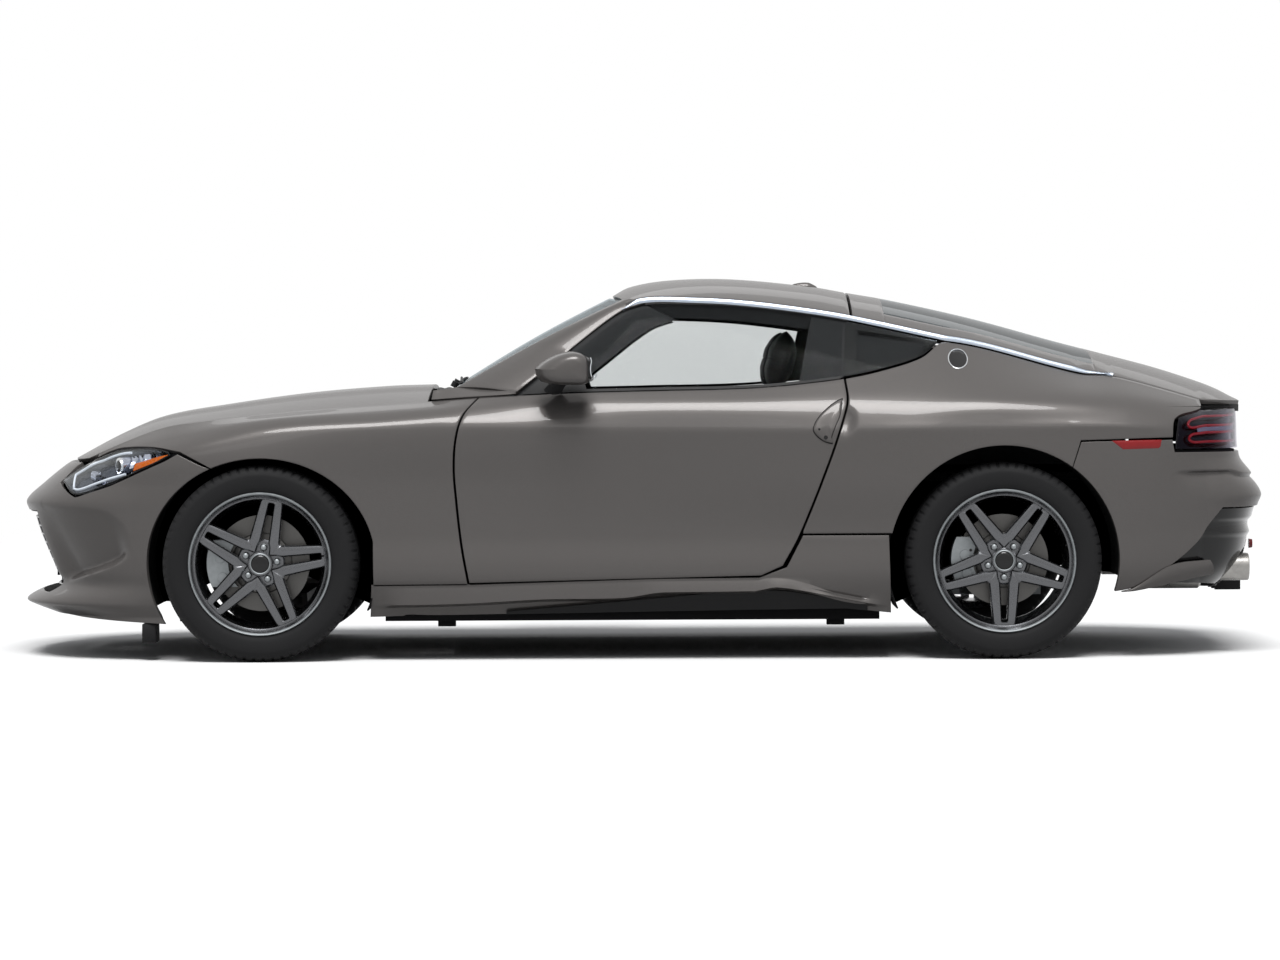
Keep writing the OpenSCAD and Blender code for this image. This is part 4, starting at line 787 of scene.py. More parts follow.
hx = np.concatenate([np.linspace(740.5, 2070, 130), np.linspace(2076, 2104, 8)])[:, None]
hu = np.linspace(-1, 1, 81)[None]
window = step(846, 850, hx) * (1 - step(1590, 1594, hx)) * (1 - step(0.86, 0.87, np.abs(hu)))
hatch_skin = hatch_point(hx, hu)
open_cell = (window[:-1, :-1] + window[1:, 1:] + window[:-1, 1:] + window[1:, :-1]) > 3.9
i0, i1 = np.where(open_cell.any(1))[0][[0, -1]]
j0, j1 = np.where(open_cell.any(0))[0][[0, -1]]
bars_of_frame = [(hatch_skin[:i0 + 1], 1.5), (hatch_skin[i1 + 1:], 1.5),
                 (hatch_skin[i0:i1 + 2, :j0 + 1], 0.6), (hatch_skin[i0:i1 + 2, j1 + 1:], 0.6)]
piece("hatch_skin", merge(*[panel(bar, 16, edge, out=(0, 0, 1)) for bar, edge in bars_of_frame]), "hatch",
      PAINT, ["hatch"])

# %% [markdown]
# ## Windows
# Each window is a thin closed pane. Real car glass has a black printed border that hides the
# glue, so the windshield, the hatch and the quarter windows have a dark band behind their rims.

# %% Door and quarter windows
def pane(low, high, count, inset=0.0, thick=4.0):
    """Thin plate between two outlines on the left window."""
    p = on_window(between(low, high, count), inset)
    return shell(p, p + [0, thick, -0.4])

def rail_line(x0, x1, n, drop):
    """Points drop below the rail over the side windows."""
    x = np.linspace(x0, x1, n + 1)
    return stack(x, smooth(RAIL_Z, x) - drop)

glass_front = pillar_edge + [18, -8]
glass_rear = np.concatenate([glass_front[-1:], rail_line(90, 706, 12, 7)])
window_top = joined(spread(glass_front, 30), spread(glass_rear, 34))
window_low = edge_line(-404, 691, 64, -2)
b_pillar_low, b_pillar_top = edge_line(548, 726, 8, -4), rail_line(596, 746, 8, 9)
quarter_low, quarter_top = edge_line(700, 1032, 30, -6), rail_line(716, 1032, 30, 4)

def border(part, from_share, to_share, rows):
    """Black strip behind the quarter pane, over some of its columns and between two shares of its height."""
    low, high = quarter_low[part], quarter_top[part]
    at = lambda share: low * (1 - share) + high * share
    return pane(at(from_share), at(to_share), rows, 5.5, 2.0)

every = slice(None)
rim_band = merge(border(every, 0.01, 0.13, 3), border(every, 0.87, 0.99, 3),
                 border(slice(5), 0.13, 0.87, 6), border(slice(-5, None), 0.13, 0.87, 6))
post = on_window(between(b_pillar_low, b_pillar_top, 8), 16)
for hand, turn in HANDS:
    piece(f"window_{hand}", turn(pane(window_low, window_top, 22)), f"door_{hand}", WINDOW,
          [f"door_glass_{hand}"])
    sail = pane(window_low[:14], window_top[:14], 8, -1.0, 7.0)
    piece(f"window_seal_{hand}", turn(merge(sail, pane(window_low, window_low + [0, 9], 2, -1.5, 9.0))),
          f"door_{hand}", SEAL)
piece("quarter_panes", both(pane(quarter_low, quarter_top, 10)), "root", WINDOW, ["quarter_windows"])
piece("quarter_borders", both(rim_band), "root", SEAL)
cant_x, cant_k = np.linspace(40, 724, 40)[None], np.linspace(0, 1, 6)[:, None]
cant = stack(cant_x, -(smooth(RAIL_Y, cant_x) - 14 + cant_k * 6), smooth(RAIL_Z, cant_x) + 8 - cant_k * 62)
pillar_front, pillar_rear = spread(pillar_edge + [-14, 2], 30), spread(pillar_edge + [104, -60], 30)
pillar_in = on_window(between(pillar_front, pillar_rear, 4), 16)
trims = merge(shell(cant, cant + [0, 26.0, 0]), shell(pillar_in, pillar_in + [6, 30.0, 0]))
piece("window_trims", both(trims), "root", TRIM)
# A trim-coloured sheet close behind the whole quarter pane is painted shade: it stands in for the dark cabin
# seen through the glass.
cabin_shade_sheet = pane(quarter_low, quarter_top, 6, 30.0, 12.0)
piece("centre_posts_and_cabin_shade", both(merge(shell(post, post + [0, 50.0, 0]), cabin_shade_sheet)), "root", TRIM)

# %% Windshield with its border, wipers and cowl
su, sv = np.linspace(-0.97, 0.97, 61)[None], np.linspace(0.01, 0.99, 41)[:, None]

def screen_band(u0, u1, v0, v1, n=30, m=4):
    """Black strip behind the windshield between two shares across and two shares up."""
    u, v = np.linspace(u0, u1, n)[None], np.linspace(v0, v1, m)[:, None]
    return shell(screen_point(u, v, -6.5), screen_point(u, v, -9.0))

piece("windshield_pane", shell(screen_point(su, sv), screen_point(su, sv, -5)), "root", SCREEN_GLASS,
      ["windshield"])
piece("windshield_border", merge(
    screen_band(-0.97, 0.97, 0.01, 0.07), screen_band(-0.97, 0.97, 0.93, 0.99),
    screen_band(-0.97, -0.86, 0.07, 0.93, 6, 20), screen_band(0.86, 0.97, 0.07, 0.93, 6, 20),
    screen_band(-0.14, 0.14, 0.86, 0.93, 8, 4)), "root", GLOSS)
cowl_x, cowl_u = np.linspace(-724, -664, 8)[:, None], np.linspace(-1, 1, 41)[None]
cowl_z = 936 - 30 * np.abs(cowl_u)**2.4 - 10 * np.cos(cowl_x / 9)**2
cowl = stack(cowl_x + 24 * cowl_u**2, 650 * cowl_u, cowl_z)
piece("cowl_grille", panel(cowl, 14, 1.5, out=(0, 0, 1)), "root", BLACK, ["cowl"])

def wiper(y0, y1, v0, v1, lift):
    """Arm and blade lying along the foot of the windshield between two cross places."""
    t = np.linspace(0, 1, 24)
    u = (y0 + (y1 - y0) * t) / 660
    on = screen_point(u, v0 + (v1 - v0) * t, lift)
    root_of = np.concatenate([[on[0] + [-26, 0, -10]], on[:3], on[12:13] + [-6, 0, 9]])
    return merge(tube(on, 3.2, 10, (0.8, 1.8)), tube(root_of, [9, 8, 7, 6, 4], 10, (1.0, 0.6)),
                 tube([on[0] + [-30, 0, -16], on[0] + [-20, 0, 2]], 12, 20))

piece("wipers", merge(wiper(-560, 20, 0.035, 0.055, 5), wiper(90, 580, 0.03, 0.05, 5)), "root", BLACK)

# %% Hatch glass, its border and its heating lines
gx, gu = np.linspace(848, 1592, 60)[:, None], np.linspace(-0.864, 0.864, 61)[None]

def hatch_band(x0, x1, u0, u1, n=40, m=4, drop=6.0, thick=3.0):
    """Strip under the hatch glass between two places along it and two shares across."""
    x, u = np.linspace(x0, x1, m)[:, None], np.linspace(u0, u1, n)[None]
    return shell(hatch_point(x, u, drop), hatch_point(x, u, drop + thick))

piece("hatch_pane", shell(hatch_point(gx, gu, 0.5), hatch_point(gx, gu, 5)), "hatch", DARK_GLASS,
      ["hatch_glass"])
piece("hatch_border", merge(
    hatch_band(849, 905, -0.862, 0.862), hatch_band(1540, 1591, -0.862, 0.862),
    hatch_band(905, 1540, -0.862, -0.79, 4, 30), hatch_band(905, 1540, 0.79, 0.862, 4, 30)),
      "hatch", GLOSS)
heater = [hatch_band(x, x + 2.0, -0.79, 0.79, 40, 2, 5.6, 0.6) for x in np.linspace(950, 1500, 12)]
piece("hatch_heater", merge(*heater), "hatch", HEATER_WIRE)

# %% [markdown]
# ## Nose
# The nose is one skin from arch to arch. Its middle is a grid of upright and level lines, so
# that the grille opening has straight edges; beyond it the grid bends to follow the lamp and
# the wheel arch. Low areas, such as the pockets beside the grille, are pushed in from the skin.

# %% Nose grid as angle and height
def around(points, rear):
    """Side-view points as [angle round the nose or tail, height]."""
    p = np.asarray(points, float)
    return stack(turn_at(p[..., 0], p[..., 1], rear), p[..., 1])

def on_end(g, rear, inset=0.0):
    """Points on the left half of the nose or tail over [angle, height] points, moved in by inset."""
    return end_point(g[..., 0], g[..., 1], rear, inset)

def angle_at_y(y, z, rear):
    """Angle at which the nose or tail stands y out from the middle."""
    x0, power = (TAIL_START, TAIL_POWER) if rear else (NOSE_START, NOSE_POWER)
    a = np.full(np.broadcast(y, z).shape, 75.0)
    for _ in range(6):
        x = x0 + (tip(z, rear) - x0) * np.sin(np.radians(a)) ** (2 / power)
        a = np.degrees(np.arccos(np.clip(y / half_breadth(x, z), 0, 1) ** (power / 2)))
    return a

def full_cap(g, rear, inset=0.0):
    """Left and right halves as one grid: g is [angle, height] from the middle outwards along each row."""
    left = on_end(g, rear, inset)
    return np.concatenate([left[:, ::-1], (left * [1, -1, 1])[:, 1:]], 1)

OPEN_Y, OPEN_LOW, OPEN_TOP = 458.0, 226.0, 510.0
open_y = np.concatenate([np.linspace(0, OPEN_Y, 36), [OPEN_Y + 3, 470, 485, 505]])
rows_z = np.concatenate([np.linspace(150, 176, 5)[:-1], np.linspace(176, OPEN_LOW - 3, 10),
                         np.linspace(OPEN_LOW, OPEN_TOP, 26), np.linspace(OPEN_TOP + 3, 600, 14),
                         np.linspace(608, 681, 9)])
rows_z = np.sort(np.concatenate([rows_z, (rows_z[1:] + rows_z[:-1]) / 2]))
middle = stack(angle_at_y(open_y[None], rows_z[:, None], False), rows_z[:, None])
rows_n = len(rows_z) - 1
nose_arch = around(spread(arch(FRONT_X, TYRE_R + 25, 212, 115.8, 60), rows_n), False)
lamp_notch = around([[-1952, 682], [-2031, 613], [-1958, 562], [-1828, 604], [-1678, 670], [-1588, 714]],
                    False)
notch_turn = np.array([min(lamp_notch[1][0], lamp_notch[0][0] - 1), lamp_notch[1][1]])
waist = joined(spread([middle[-1, -1], lamp_notch[0]], 22), spread([lamp_notch[0], notch_turn], 5),
               spread(np.concatenate([[notch_turn], lamp_notch[2:]]), 40),
               spread([lamp_notch[5], nose_arch[-1]], 12))
lip_start = middle[0, -1] * 0.85 + nose_arch[0] * 0.15
lip_low = joined(spread([middle[0, -1], lip_start], 22), spread([lip_start, nose_arch[0]], len(waist) - 23))
outer_nose = coons(lip_low, waist, middle[:, -1], nose_arch)
nose_grid = np.concatenate([middle, outer_nose[:, 1:]], 1)
nx, ny, nz = np.moveaxis(on_end(nose_grid, False) * [1, -1, 1], -1, 0)
brow = smooth([[-2194, 552], [-2066, 531], [-1959, 529], [-1848, 516], [-1790, 478], [-1750, 430]], nx)
shelf = smooth([[-2200, 240], [-2089, 256], [-2005, 283], [-1765, 372], [-1700, 440]], nx)
fall = np.clip((brow - nz) / np.maximum(brow - shelf, 30), 0, 1)
fade = step(shelf - 26, shelf + 18, nz) * step(465, 590, ny) * (1 - step(-1830, -1750, nx))
pocket_in = 52 * fall**0.9 * fade
opening = (ny < OPEN_Y + 1) * (nz > OPEN_LOW - 1) * (nz < OPEN_TOP + 1)
nose_in = np.where(opening, 64.0, pocket_in)
piece("nose_skin", panel(full_cap(nose_grid, False, nose_in), 14, 2.0, out=(-1, 0, 0)), "root", PAINT,
      ["front_bumper"], 32)

# %% Grille: dark pocket, level slats and short links
def nose_at(y, z, inset=0.0):
    """Points on the nose that stand y out from the middle, on either side of it."""
    p = end_point(angle_at_y(np.abs(y), z, False), z, False, inset)
    return p * stack(1, -np.sign(y + 1e-9), 1)

pocket_y = np.concatenate([[-456, -455.5], np.linspace(-453, 453, 60), [455.5, 456]])
pocket_z = np.concatenate([[228, 228.5], np.linspace(231, 505, 20), [507.5, 508]])
py, pz = np.meshgrid(pocket_y, pocket_z)
pocket_deep = np.where((np.abs(py) > 454) | (pz < 230) | (pz > 506), 5.0, 56.0)
piece("grille_pocket", shell(nose_at(py, pz, pocket_deep), nose_at(py, pz, pocket_deep + 6)), "root", LINER_AND_SHADE)
slat_y = np.linspace(-454, 454, 80)
slats = [tube(nose_at(slat_y, np.full(80, z), 26.0), 6.0, 14, (1.7, 0.75)) for z in np.linspace(250, 486, 9)]
links = [tube(nose_at(np.full(4, y), np.linspace(z, z + 29.5, 4), 21.5), 3.6, 8) for k, z in
         enumerate(np.linspace(250, 456.5, 8)) for y in np.linspace(-420, 420, 21) + (20 if k % 2 else 0)]
piece("grille_mesh", merge(*slats, *links), "root", GLOSS, ["grille"], 50)

# %% Lip flaps under the nose
piece("lip_flaps", both(block(-1722, -1672, -760, -640, 62, 128, 5)), "root", BLACK)

# %% [markdown]
# ### Headlamps
# A clear lens follows the skin over a grey bowl. Inside it stand a projector with a smaller
# one beside it, a ribbed reflector, three light guides and an amber marker at the rear end.

# %% Headlamp
LAMP_LOW = [[-2016, 618], [-1958, 572], [-1828, 612], [-1678, 678], [-1612, 713]]
LAMP_TOP = [[-2012, 624], [-1961, 659], [-1902, 690], [-1838, 716], [-1786, 729], [-1678, 731], [-1610, 717]]
lamp_low, lamp_top = around(curve(LAMP_LOW, 60), False), around(curve(LAMP_TOP, 60), False)

def lamp_at(s, t, inset):
    """Point in the lamp: s from nose to tail, t from its lower to its upper edge, inset behind the lens."""
    along = np.linspace(0, 1, len(lamp_low))
    low, top = (stack(*[np.interp(s, along, row[:, k]) for k in (0, 1)]) for row in (lamp_low, lamp_top))
    t = np.asarray(t, float)[..., None]
    return on_end(low * (1 - t) + top * t, False, inset)

def lamp_shell(s, t, near, far):
    """Plate in the left and the right lamp between two depths."""
    return both(shell(lamp_at(s, t, near), lamp_at(s, t, far)))

ls, lt = np.meshgrid(np.linspace(0.0, 1, 61), np.linspace(0, 1, 17))
bowl = 10 + 46 * (np.sin(np.pi * ls) * np.sin(np.pi * lt)) ** 0.35
piece("headlamp_lens", lamp_shell(ls, lt, 0.5, 3.5), "root", LENS, ["headlights"])
piece("headlamp_bowl", lamp_shell(ls, lt, bowl, bowl + 4), "root", BOWL)
rim_s = np.concatenate([np.linspace(0.01, 0.985, 50), np.linspace(0.985, 0.01, 50)[1:]])
rim_t = np.repeat([0.03, 0.97], [50, 49])
back_s, back_t = np.meshgrid(np.concatenate([[-0.05, -0.04, 0.0], np.linspace(0.01, 0.99, 40), [1.0, 1.03]]),
                             np.concatenate([[-0.22, -0.2, 0.0], np.linspace(0.02, 0.98, 12), [1.0, 1.16]]))
inside = (back_s > 0) & (back_s < 1) & (back_t > 0) & (back_t < 1)
back_in = np.where(inside, 64.0, 19.0)
piece("headlamp_backs", lamp_shell(back_s, back_t, back_in, back_in + 4), "root", LINER_AND_SHADE)
# A near-black strip behind the seam between wing and nose is painted shade: it darkens the gap, which is open
# to the light behind.
seam_shade_strip = between(curve([[-1650, 676], [-1575, 690], [-1450, 668]], 20),
                     curve([[-1650, 720], [-1575, 724], [-1432, 686]], 20), 4)
piece("seam_shade_backs", both(shell(side(seam_shade_strip, 17.0), side(seam_shade_strip, 21.0))), "root", LINER_AND_SHADE)
piece("headlamp_rim", both(tube(lamp_at(rim_s, rim_t, 5.0), 3.4, 8)), "root", SEAL, (), 60)

def lamp_bar(s0, s1, t0, t1, inset, radius, n=30):
    """Light guide between two places in the lamp, bowed a little upwards."""
    s, t = np.linspace(s0, s1, n), np.linspace(t0, t1, n)
    return tube(lamp_at(s, t + 0.05 * np.sin(np.pi * (s - s0) / (s1 - s0)), inset), radius, 12)

guides = merge(lamp_bar(0.10, 0.62, 0.84, 0.86, 13, 4.5), lamp_bar(0.12, 0.58, 0.17, 0.14, 14, 4.5),
               lamp_bar(0.10, 0.12, 0.80, 0.22, 13, 4.0, 10))
aim = np.array([-0.88, -0.47, -0.05])
centre = lamp_at(0.52, 0.50, 34.0)
barrel = tube([centre - aim * 26, centre + aim * 16], [31, 29], 40)
eye = tube([centre + aim * k for k in (14, 19, 22, 24)], [24, 23, 17, 6], 40)
eye_ring = tube([centre + aim * 15, centre + aim * 20], [30, 28], 40)
second = lamp_at(0.30, 0.46, 30.0)
small_eye = tube([second - aim * 18, second + aim * 6], [19, 22], 32)
piece("headlamp_guides", both(guides), "root", DAY_LIGHT, (), 60)
piece("headlamp_projector", both(merge(barrel, small_eye)), "root", REFLECTOR, (), 40)
piece("headlamp_rings", both(eye_ring), "root", BRIGHT, (), 40)
piece("headlamp_eye", both(eye), "root", GLOSS, (), 60)
fin_s, fin_t = np.meshgrid(np.linspace(0.60, 0.80, 10), np.linspace(0.30, 0.72, 7))
piece("headlamp_reflector", lamp_shell(fin_s, fin_t, 20 + 9 * np.cos(fin_s * 160), 44.0), "root", REFLECTOR,
      (), 40)
am_s, am_t = np.meshgrid(np.linspace(0.66, 0.97, 24), np.linspace(0.12, 0.42, 6))
piece("headlamp_amber", lamp_shell(am_s, am_t, 5 + 1.2 * np.cos(am_s * 300), 12.0), "root", AMBER,
      (), 40)

# %% [markdown]
# ## Tail
# The tail is built like the nose. The bumper ends below in a diagonal edge, with a gloss
# black panel inside it; the diffuser, the tips and a painted corner blade stand under that.

# %% Bumper
TAIL_CORNER = np.array([[2007, 512], [1822, 318]])
tail_arch = around(spread(arch(REAR_X, ARCH_R, -16, 54, 60), 104), True)
tail_arch[-1] = around([1479.5, 656.5], True)
corner = around(TAIL_CORNER, True)
under_arch = around([1690, 240], True)
tail_low = joined(spread([[90, 512], corner[0]], 60), spread(corner, 20),
                  spread([corner[1], under_arch, tail_arch[0]], 64))
shoulder = around([[1834, 704], [1826, 748], [1509, 742], [1481, 660]], True)
tail_crest = joined(spread([[90, 704], shoulder[0]], 80), spread(shoulder[:2], 10), spread(shoulder[1:3], 44),
                    spread([shoulder[2], tail_arch[-1]], 10))
tail_grid = between(tail_low, tail_crest, 104)
bow_out = tail_arch - tail_grid[:, -1]
tail_grid = tail_grid + np.linspace(0, 1, tail_grid.shape[1])[None, :, None] ** 4 * bow_out[:, None]
tx, _, tz = np.moveaxis(on_end(tail_grid, True), -1, 0)
groove = np.interp(tx, [1860, 2041, 2086, 2140], [636, 637, 624, 620])
fade = step(groove + 8, groove - 8, tz) * step(1820, 1910, tx)
under_ridge = 14 * np.exp(-np.maximum(groove - 8 - tz, 0) / 34) * fade
piece("tail_skin", panel(full_cap(tail_grid, True, under_ridge), 14, 2.0, out=(1, 0, 0)), "root",
      PAINT, ["rear_bumper"], 34)

# %% Gloss panel, diffuser and its fins
panel_corner = around([[2003, 508], [1826, 322]], True)
dif_top = joined(spread([[90, 508], panel_corner[0]], 70), spread(panel_corner, 30))
dif_foot = spread([[90, 232], around([1828, 254], True)], 100)
dif_grid = between(dif_foot, dif_top, 110)
_, dy, dz = np.moveaxis(on_end(dif_grid, True) * [1, -1, 1], -1, 0)
TIP_X, TIP_Y, TIP_Z = 2118, 560, 300
tip_far = np.hypot(dy - TIP_Y, dz - TIP_Z)
centre_pocket = 26 * (1 - step(150, 168, np.abs(dy))) * step(336, 346, dz) * (1 - step(470, 480, dz))
tunnel = 34 * (1 - step(300, 330, np.abs(dy))) * (1 - step(290, 325, dz))
steps = 13 * step(424, 402, dz) * step(160, 400, np.abs(dy)) + 10 * step(476, 458, dz)
dif_in = 11 + np.maximum(steps, tunnel) + centre_pocket + 74 * (1 - step(56, 66, tip_far))
piece("diffuser_skin", panel(full_cap(dif_grid, True, dif_in), 10, 1.5, out=(1, 0, 0)), "root", GLOSS,
      ["diffuser"], 32)
fins = [block(2035, 2128, y - 4, y + 4, 205, 318, 3) for y in (-250, -150, -50, 50, 150, 250)]
piece("diffuser_fins", merge(*fins), "root", BLACK)
piece("rear_plate", block(2152, 2156, -152, 152, 348, 466, 1.5), "root", PLATE)
fog = [tube([[2148, y, 372], [2160, y, 372]], [17, 15], 32) for y in (-330, 330)]
piece("rear_reflectors", merge(*fog), "root", RED)

# %% Painted corner blade under the gloss panel
blade_low = around(curve([[1650, 226], [1700, 230], [1904, 270], [1972, 281]], 40), True)
blade_top = around(curve([[1650, 229], [1690, 240], [1822, 317], [1960, 332]], 40), True)
blade = between(blade_low, blade_top, 10)
rise = np.linspace(-1, 1, 11)[:, None]
piece("corner_blades", both(shell(on_end(blade, True, -5 - 5 * (1 - rise**2)), on_end(blade, True, 22.0))),
      "root", PAINT, (), 40)

# %% Exhaust tips
def on_pipe(part, side_y):
    """Stands a part drawn about an upright axis on an exhaust's axis, its top to the rear."""
    v, f = part
    return outward((stack(TIP_X + v[:, 2], side_y + v[:, 0], TIP_Z + v[:, 1]), f))

rolled_end = lathe([[36, -150], [48, -150], [48, -6], [47, -1.5], [45, 0], [43, -1.5], [42, -6], [42, -110],
                    [36, -112]], 72)
plug = lathe([[42, -60], [42, -56]], 48, False)
pipes, silencers, necks, plugs = [], [], [], []
for y in (-TIP_Y, TIP_Y):
    pipes.append(on_pipe(rolled_end, y))
    plugs.append(on_pipe(plug, y))
    silencers.append(tube([[x, y, TIP_Z] for x in (1705, 1712, 1940, 1948)], [68, 75, 75, 68], 48))
    necks.append(tube([[x, y, TIP_Z] for x in (1944, 1985)], 34, 32))
piece("exhaust_tips", merge(*pipes, *silencers, *necks), "root", EXHAUST, ["exhaust"], 34)
piece("exhaust_insides", merge(*plugs), "root", LINER_AND_SHADE)

# %% Tail lamps
LAMP_FOOT = 716
lamp_corner = around([1941, 847], True)
lamp_foot = spread([around([1842, LAMP_FOOT], True), [76, LAMP_FOOT]], 40)
lamp_head = joined(spread([around([1858, 822], True), lamp_corner], 12), spread([lamp_corner, [76, 852]], 28))
tl_grid = between(lamp_foot, lamp_head, 22)
span = (tl_grid[..., 1] - LAMP_FOOT) / (tl_grid[-1:, :, 1] - LAMP_FOOT)
turn = np.linspace(0, 1, 41)[None]
hollow = np.sin(np.pi * np.clip(span, 0.02, 0.98)) * np.sin(np.pi * np.clip(turn, 0.02, 0.98))
house = 9 + 26 * hollow ** 0.3

def tail_at(s, t, inset):
    """Point in the tail lamp: s from its front edge round to the hatch, t from foot to top."""
    i, j = np.asarray(t) * 22, np.asarray(s) * 40
    i0, j0 = np.clip(i.astype(int), 0, 21), np.clip(j.astype(int), 0, 39)
    fi, fj = (i - i0)[..., None], (j - j0)[..., None]
    g = (tl_grid[i0, j0] * (1 - fi) * (1 - fj) + tl_grid[i0 + 1, j0] * fi * (1 - fj)
         + tl_grid[i0, j0 + 1] * (1 - fi) * fj + tl_grid[i0 + 1, j0 + 1] * fi * fj)
    return on_end(g, True, inset)

def tail_shell(near, far):
    """Plate behind the whole tail lamp, left and right, between two depths."""
    return both(shell(on_end(tl_grid, True, near), on_end(tl_grid, True, far)))

piece("tail_lens", tail_shell(2.0, 5.0), "root", SMOKED, ["tail_lights"])
piece("tail_house", tail_shell(house, house + 4), "root", GLOSS)

def light_ring(s0, s1, t0, t1, inset, radius):
    """Open ring of light: two level bars joined by a round end."""
    k = np.linspace(0, 1, 18)
    turn_in = np.linspace(-np.pi / 2, np.pi / 2, 12)
    mid, half_t = (t0 + t1) / 2, (t1 - t0) / 2
    s = np.concatenate([s1 + (s0 - s1) * k, s0 - 0.06 * np.cos(turn_in), s0 + (s1 - s0) * k])
    t = np.concatenate([t0 + 0 * k, mid + half_t * np.sin(turn_in), t1 + 0 * k])
    return tube(tail_at(s, t, inset), radius, 10)

tail_rings = [light_ring(0.16, 0.99, foot, foot + 0.24, 12.0, 4.6) for foot in (0.60, 0.18)]
piece("tail_rings", both(merge(*tail_rings)), "root", TAIL_RED, (), 60)
inner_s, inner_t = np.meshgrid(np.linspace(0.2, 0.94, 30), np.linspace(0.46, 0.56, 4))
piece("tail_reverse", both(shell(tail_at(inner_s, inner_t, 14.0), tail_at(inner_s, inner_t, 20.0))), "root",
      REFLECTOR)

# %% Dark shelf that closes the gap over the lamps, and one under them: painted shade in those gaps
shelf_a = np.linspace(2, 88, 60)
shelves = []
for height, near, far in ((852.0, 12.0, 150.0), (700.0, 15.0, 110.0)):
    shelf_rows = np.array([end_point(shelf_a, np.full(60, height), True, k)
                           for k in np.linspace(near, far, 5)])
    shelves.append(shell(shelf_rows, shelf_rows + [0, 0, 9.0]))
piece("tail_shade_shelf", both(merge(*shelves)), "root", LINER_AND_SHADE)

# %% Dark panel across the hatch between the lamps
panel_z = np.concatenate([[716, 717], np.linspace(722, 842, 14), [847, 848]])
hp_y, hp_z = np.meshgrid(np.linspace(-390, 390, 60), panel_z)
ends = np.where((hp_z < 716.5) | (hp_z > 847.5), 8.0, 0.0)

def hatch_back(y, z, inset):
    """Points on the tail over the hatch's panel, cut off upright behind it."""
    p = end_point(angle_at_y(np.abs(y), z, True), z, True, inset)
    return stack(np.minimum(p[..., 0], 2103.0), y, p[..., 2])

piece("hatch_panel", shell(hatch_back(hp_y, hp_z, 3.0 + ends), hatch_back(hp_y, hp_z, 30.0)), "hatch", GLOSS)
bar_y = np.linspace(-384, 384, 60)
bars = [tube(hatch_back(bar_y, np.full(60, z), 5.0), 4.0, 10, (0.7, 1.0)) for z in (738, 770, 796, 828)]
piece("hatch_bars", merge(*bars), "hatch", TAIL_RED, (), 60)
lip_x, lip_y = np.meshgrid(np.linspace(2060, 2103, 10), np.linspace(-1, 1, 61))
piece("hatch_lip_underside", shell(hatch_point(lip_x, lip_y, 14.0), hatch_point(lip_x, lip_y * 0.99, 38.0)),
      "hatch", BLACK)

# %% Red side markers
marker = between(curve([[1652, 716], [1782, 719]], 24), curve([[1613, 746], [1788, 748]], 24), 5)
marker_out = np.pad(np.full((4, 23), 2.0), 1)
piece("side_markers", both(shell(side(marker, -marker_out), side(marker, 3.0))), "root", RED)

# %% [markdown]
# ## Wheels
# One wheel is drawn about its own axle: two directions across it, then the height outboard of
# its centre plane. Five spokes, each of two bars with a slot between them, meet in five Vs.
# The same parts then stand at the four corners.

# %% Putting wheel parts in place
WHEEL_Y = 775.5

def turned(v, degrees):
    """Points turned about the axle."""
    c, s = np.cos(np.radians(degrees)), np.sin(np.radians(degrees))
    return stack(v[:, 0] * c - v[:, 1] * s, v[:, 0] * s + v[:, 1] * c, v[:, 2])

def at_wheel(part, x0, turn):
    """Turns a part about its own axle, then stands it at the left wheel whose axle is at x0."""
    x, z, out = turned(part[0], turn).T
    return outward((stack(x0 + x, -(WHEEL_Y + out), TYRE_R + z), part[1]))

def spun(part, n=5):
    """n copies of a part round the axle."""
    return merge(*[(turned(part[0], 360 * k / n), part[1]) for k in range(n)])

def arc_bar(profile, a0, a1, n):
    """A closed [radius, height] outline swept round the axle from angle a0 to a1, with flat ends."""
    p = np.asarray(profile, float)
    a = np.radians(np.linspace(a0, a1, n + 1))[:, None]
    return rounds(stack(p[:, 0] * np.cos(a), p[:, 0] * np.sin(a), p[:, 1]))

def polar(radius, degrees, height):
    """One point about the axle."""
    return [radius * np.cos(np.radians(degrees)), radius * np.sin(np.radians(degrees)), height]

# %% Spokes
def bar_top(r):
    """Height of the spoke's face: it falls gently from the hub to the rim."""
    return 97 - 10 * (1 - np.clip(r / 236, 0, 1)) ** 2 - 5 * step(150, 236, r)

outer_edge = joined(spread([[72.8, 52.9], [92, 51.4]], 8), spread([[92, 51.4], [208, 39.4]], 18),
                    spread([[208, 39.4], [214, 38.6]], 2), spread([[214, 38.6], [229, 36]], 3))
slot_edge = joined(spread([[32.4, 23.5], [60, 20], [75, 14]], 8), spread([[75, 14], [210, 8.5]], 18),
                   spread([[210, 8.5], [213, 0]], 2), spread([[213, 0], [236, 0]], 3))
share = np.array([0, 0.13, 0.3, 0.5, 0.7, 0.87, 1.0])
bar = slot_edge[None] + (outer_edge - slot_edge)[None] * share[:, None, None]
radius = np.hypot(bar[..., 0], bar[..., 1])
closed = np.clip((bar[0, :, 1] < 0.1) * 1.0, 0, 1)[None] * (share[:, None] < 0.5)
start_free = 1 - np.exp(-(np.arange(bar.shape[1]) / 1.2))[None]
round_off = np.array([5.0, 0.6, 0, 0, 0, 0.6, 5.0])[:, None] * (1 - closed)
crown = 3.0 * (1 - np.abs(2 * share - 1)[:, None] ** 2) * (1 - closed) * start_free
face_z = bar_top(radius) - round_off * np.where(share[:, None] > 0.5, start_free, 1) + crown - 3
back_z = 58 - 6 * step(60, 210, radius)
half = shell(np.dstack([bar, face_z]), np.dstack([bar, back_z]))
mirror_half = outward((half[0] * [1, -1, 1], half[1]))
spokes = spun(merge(half, mirror_half))

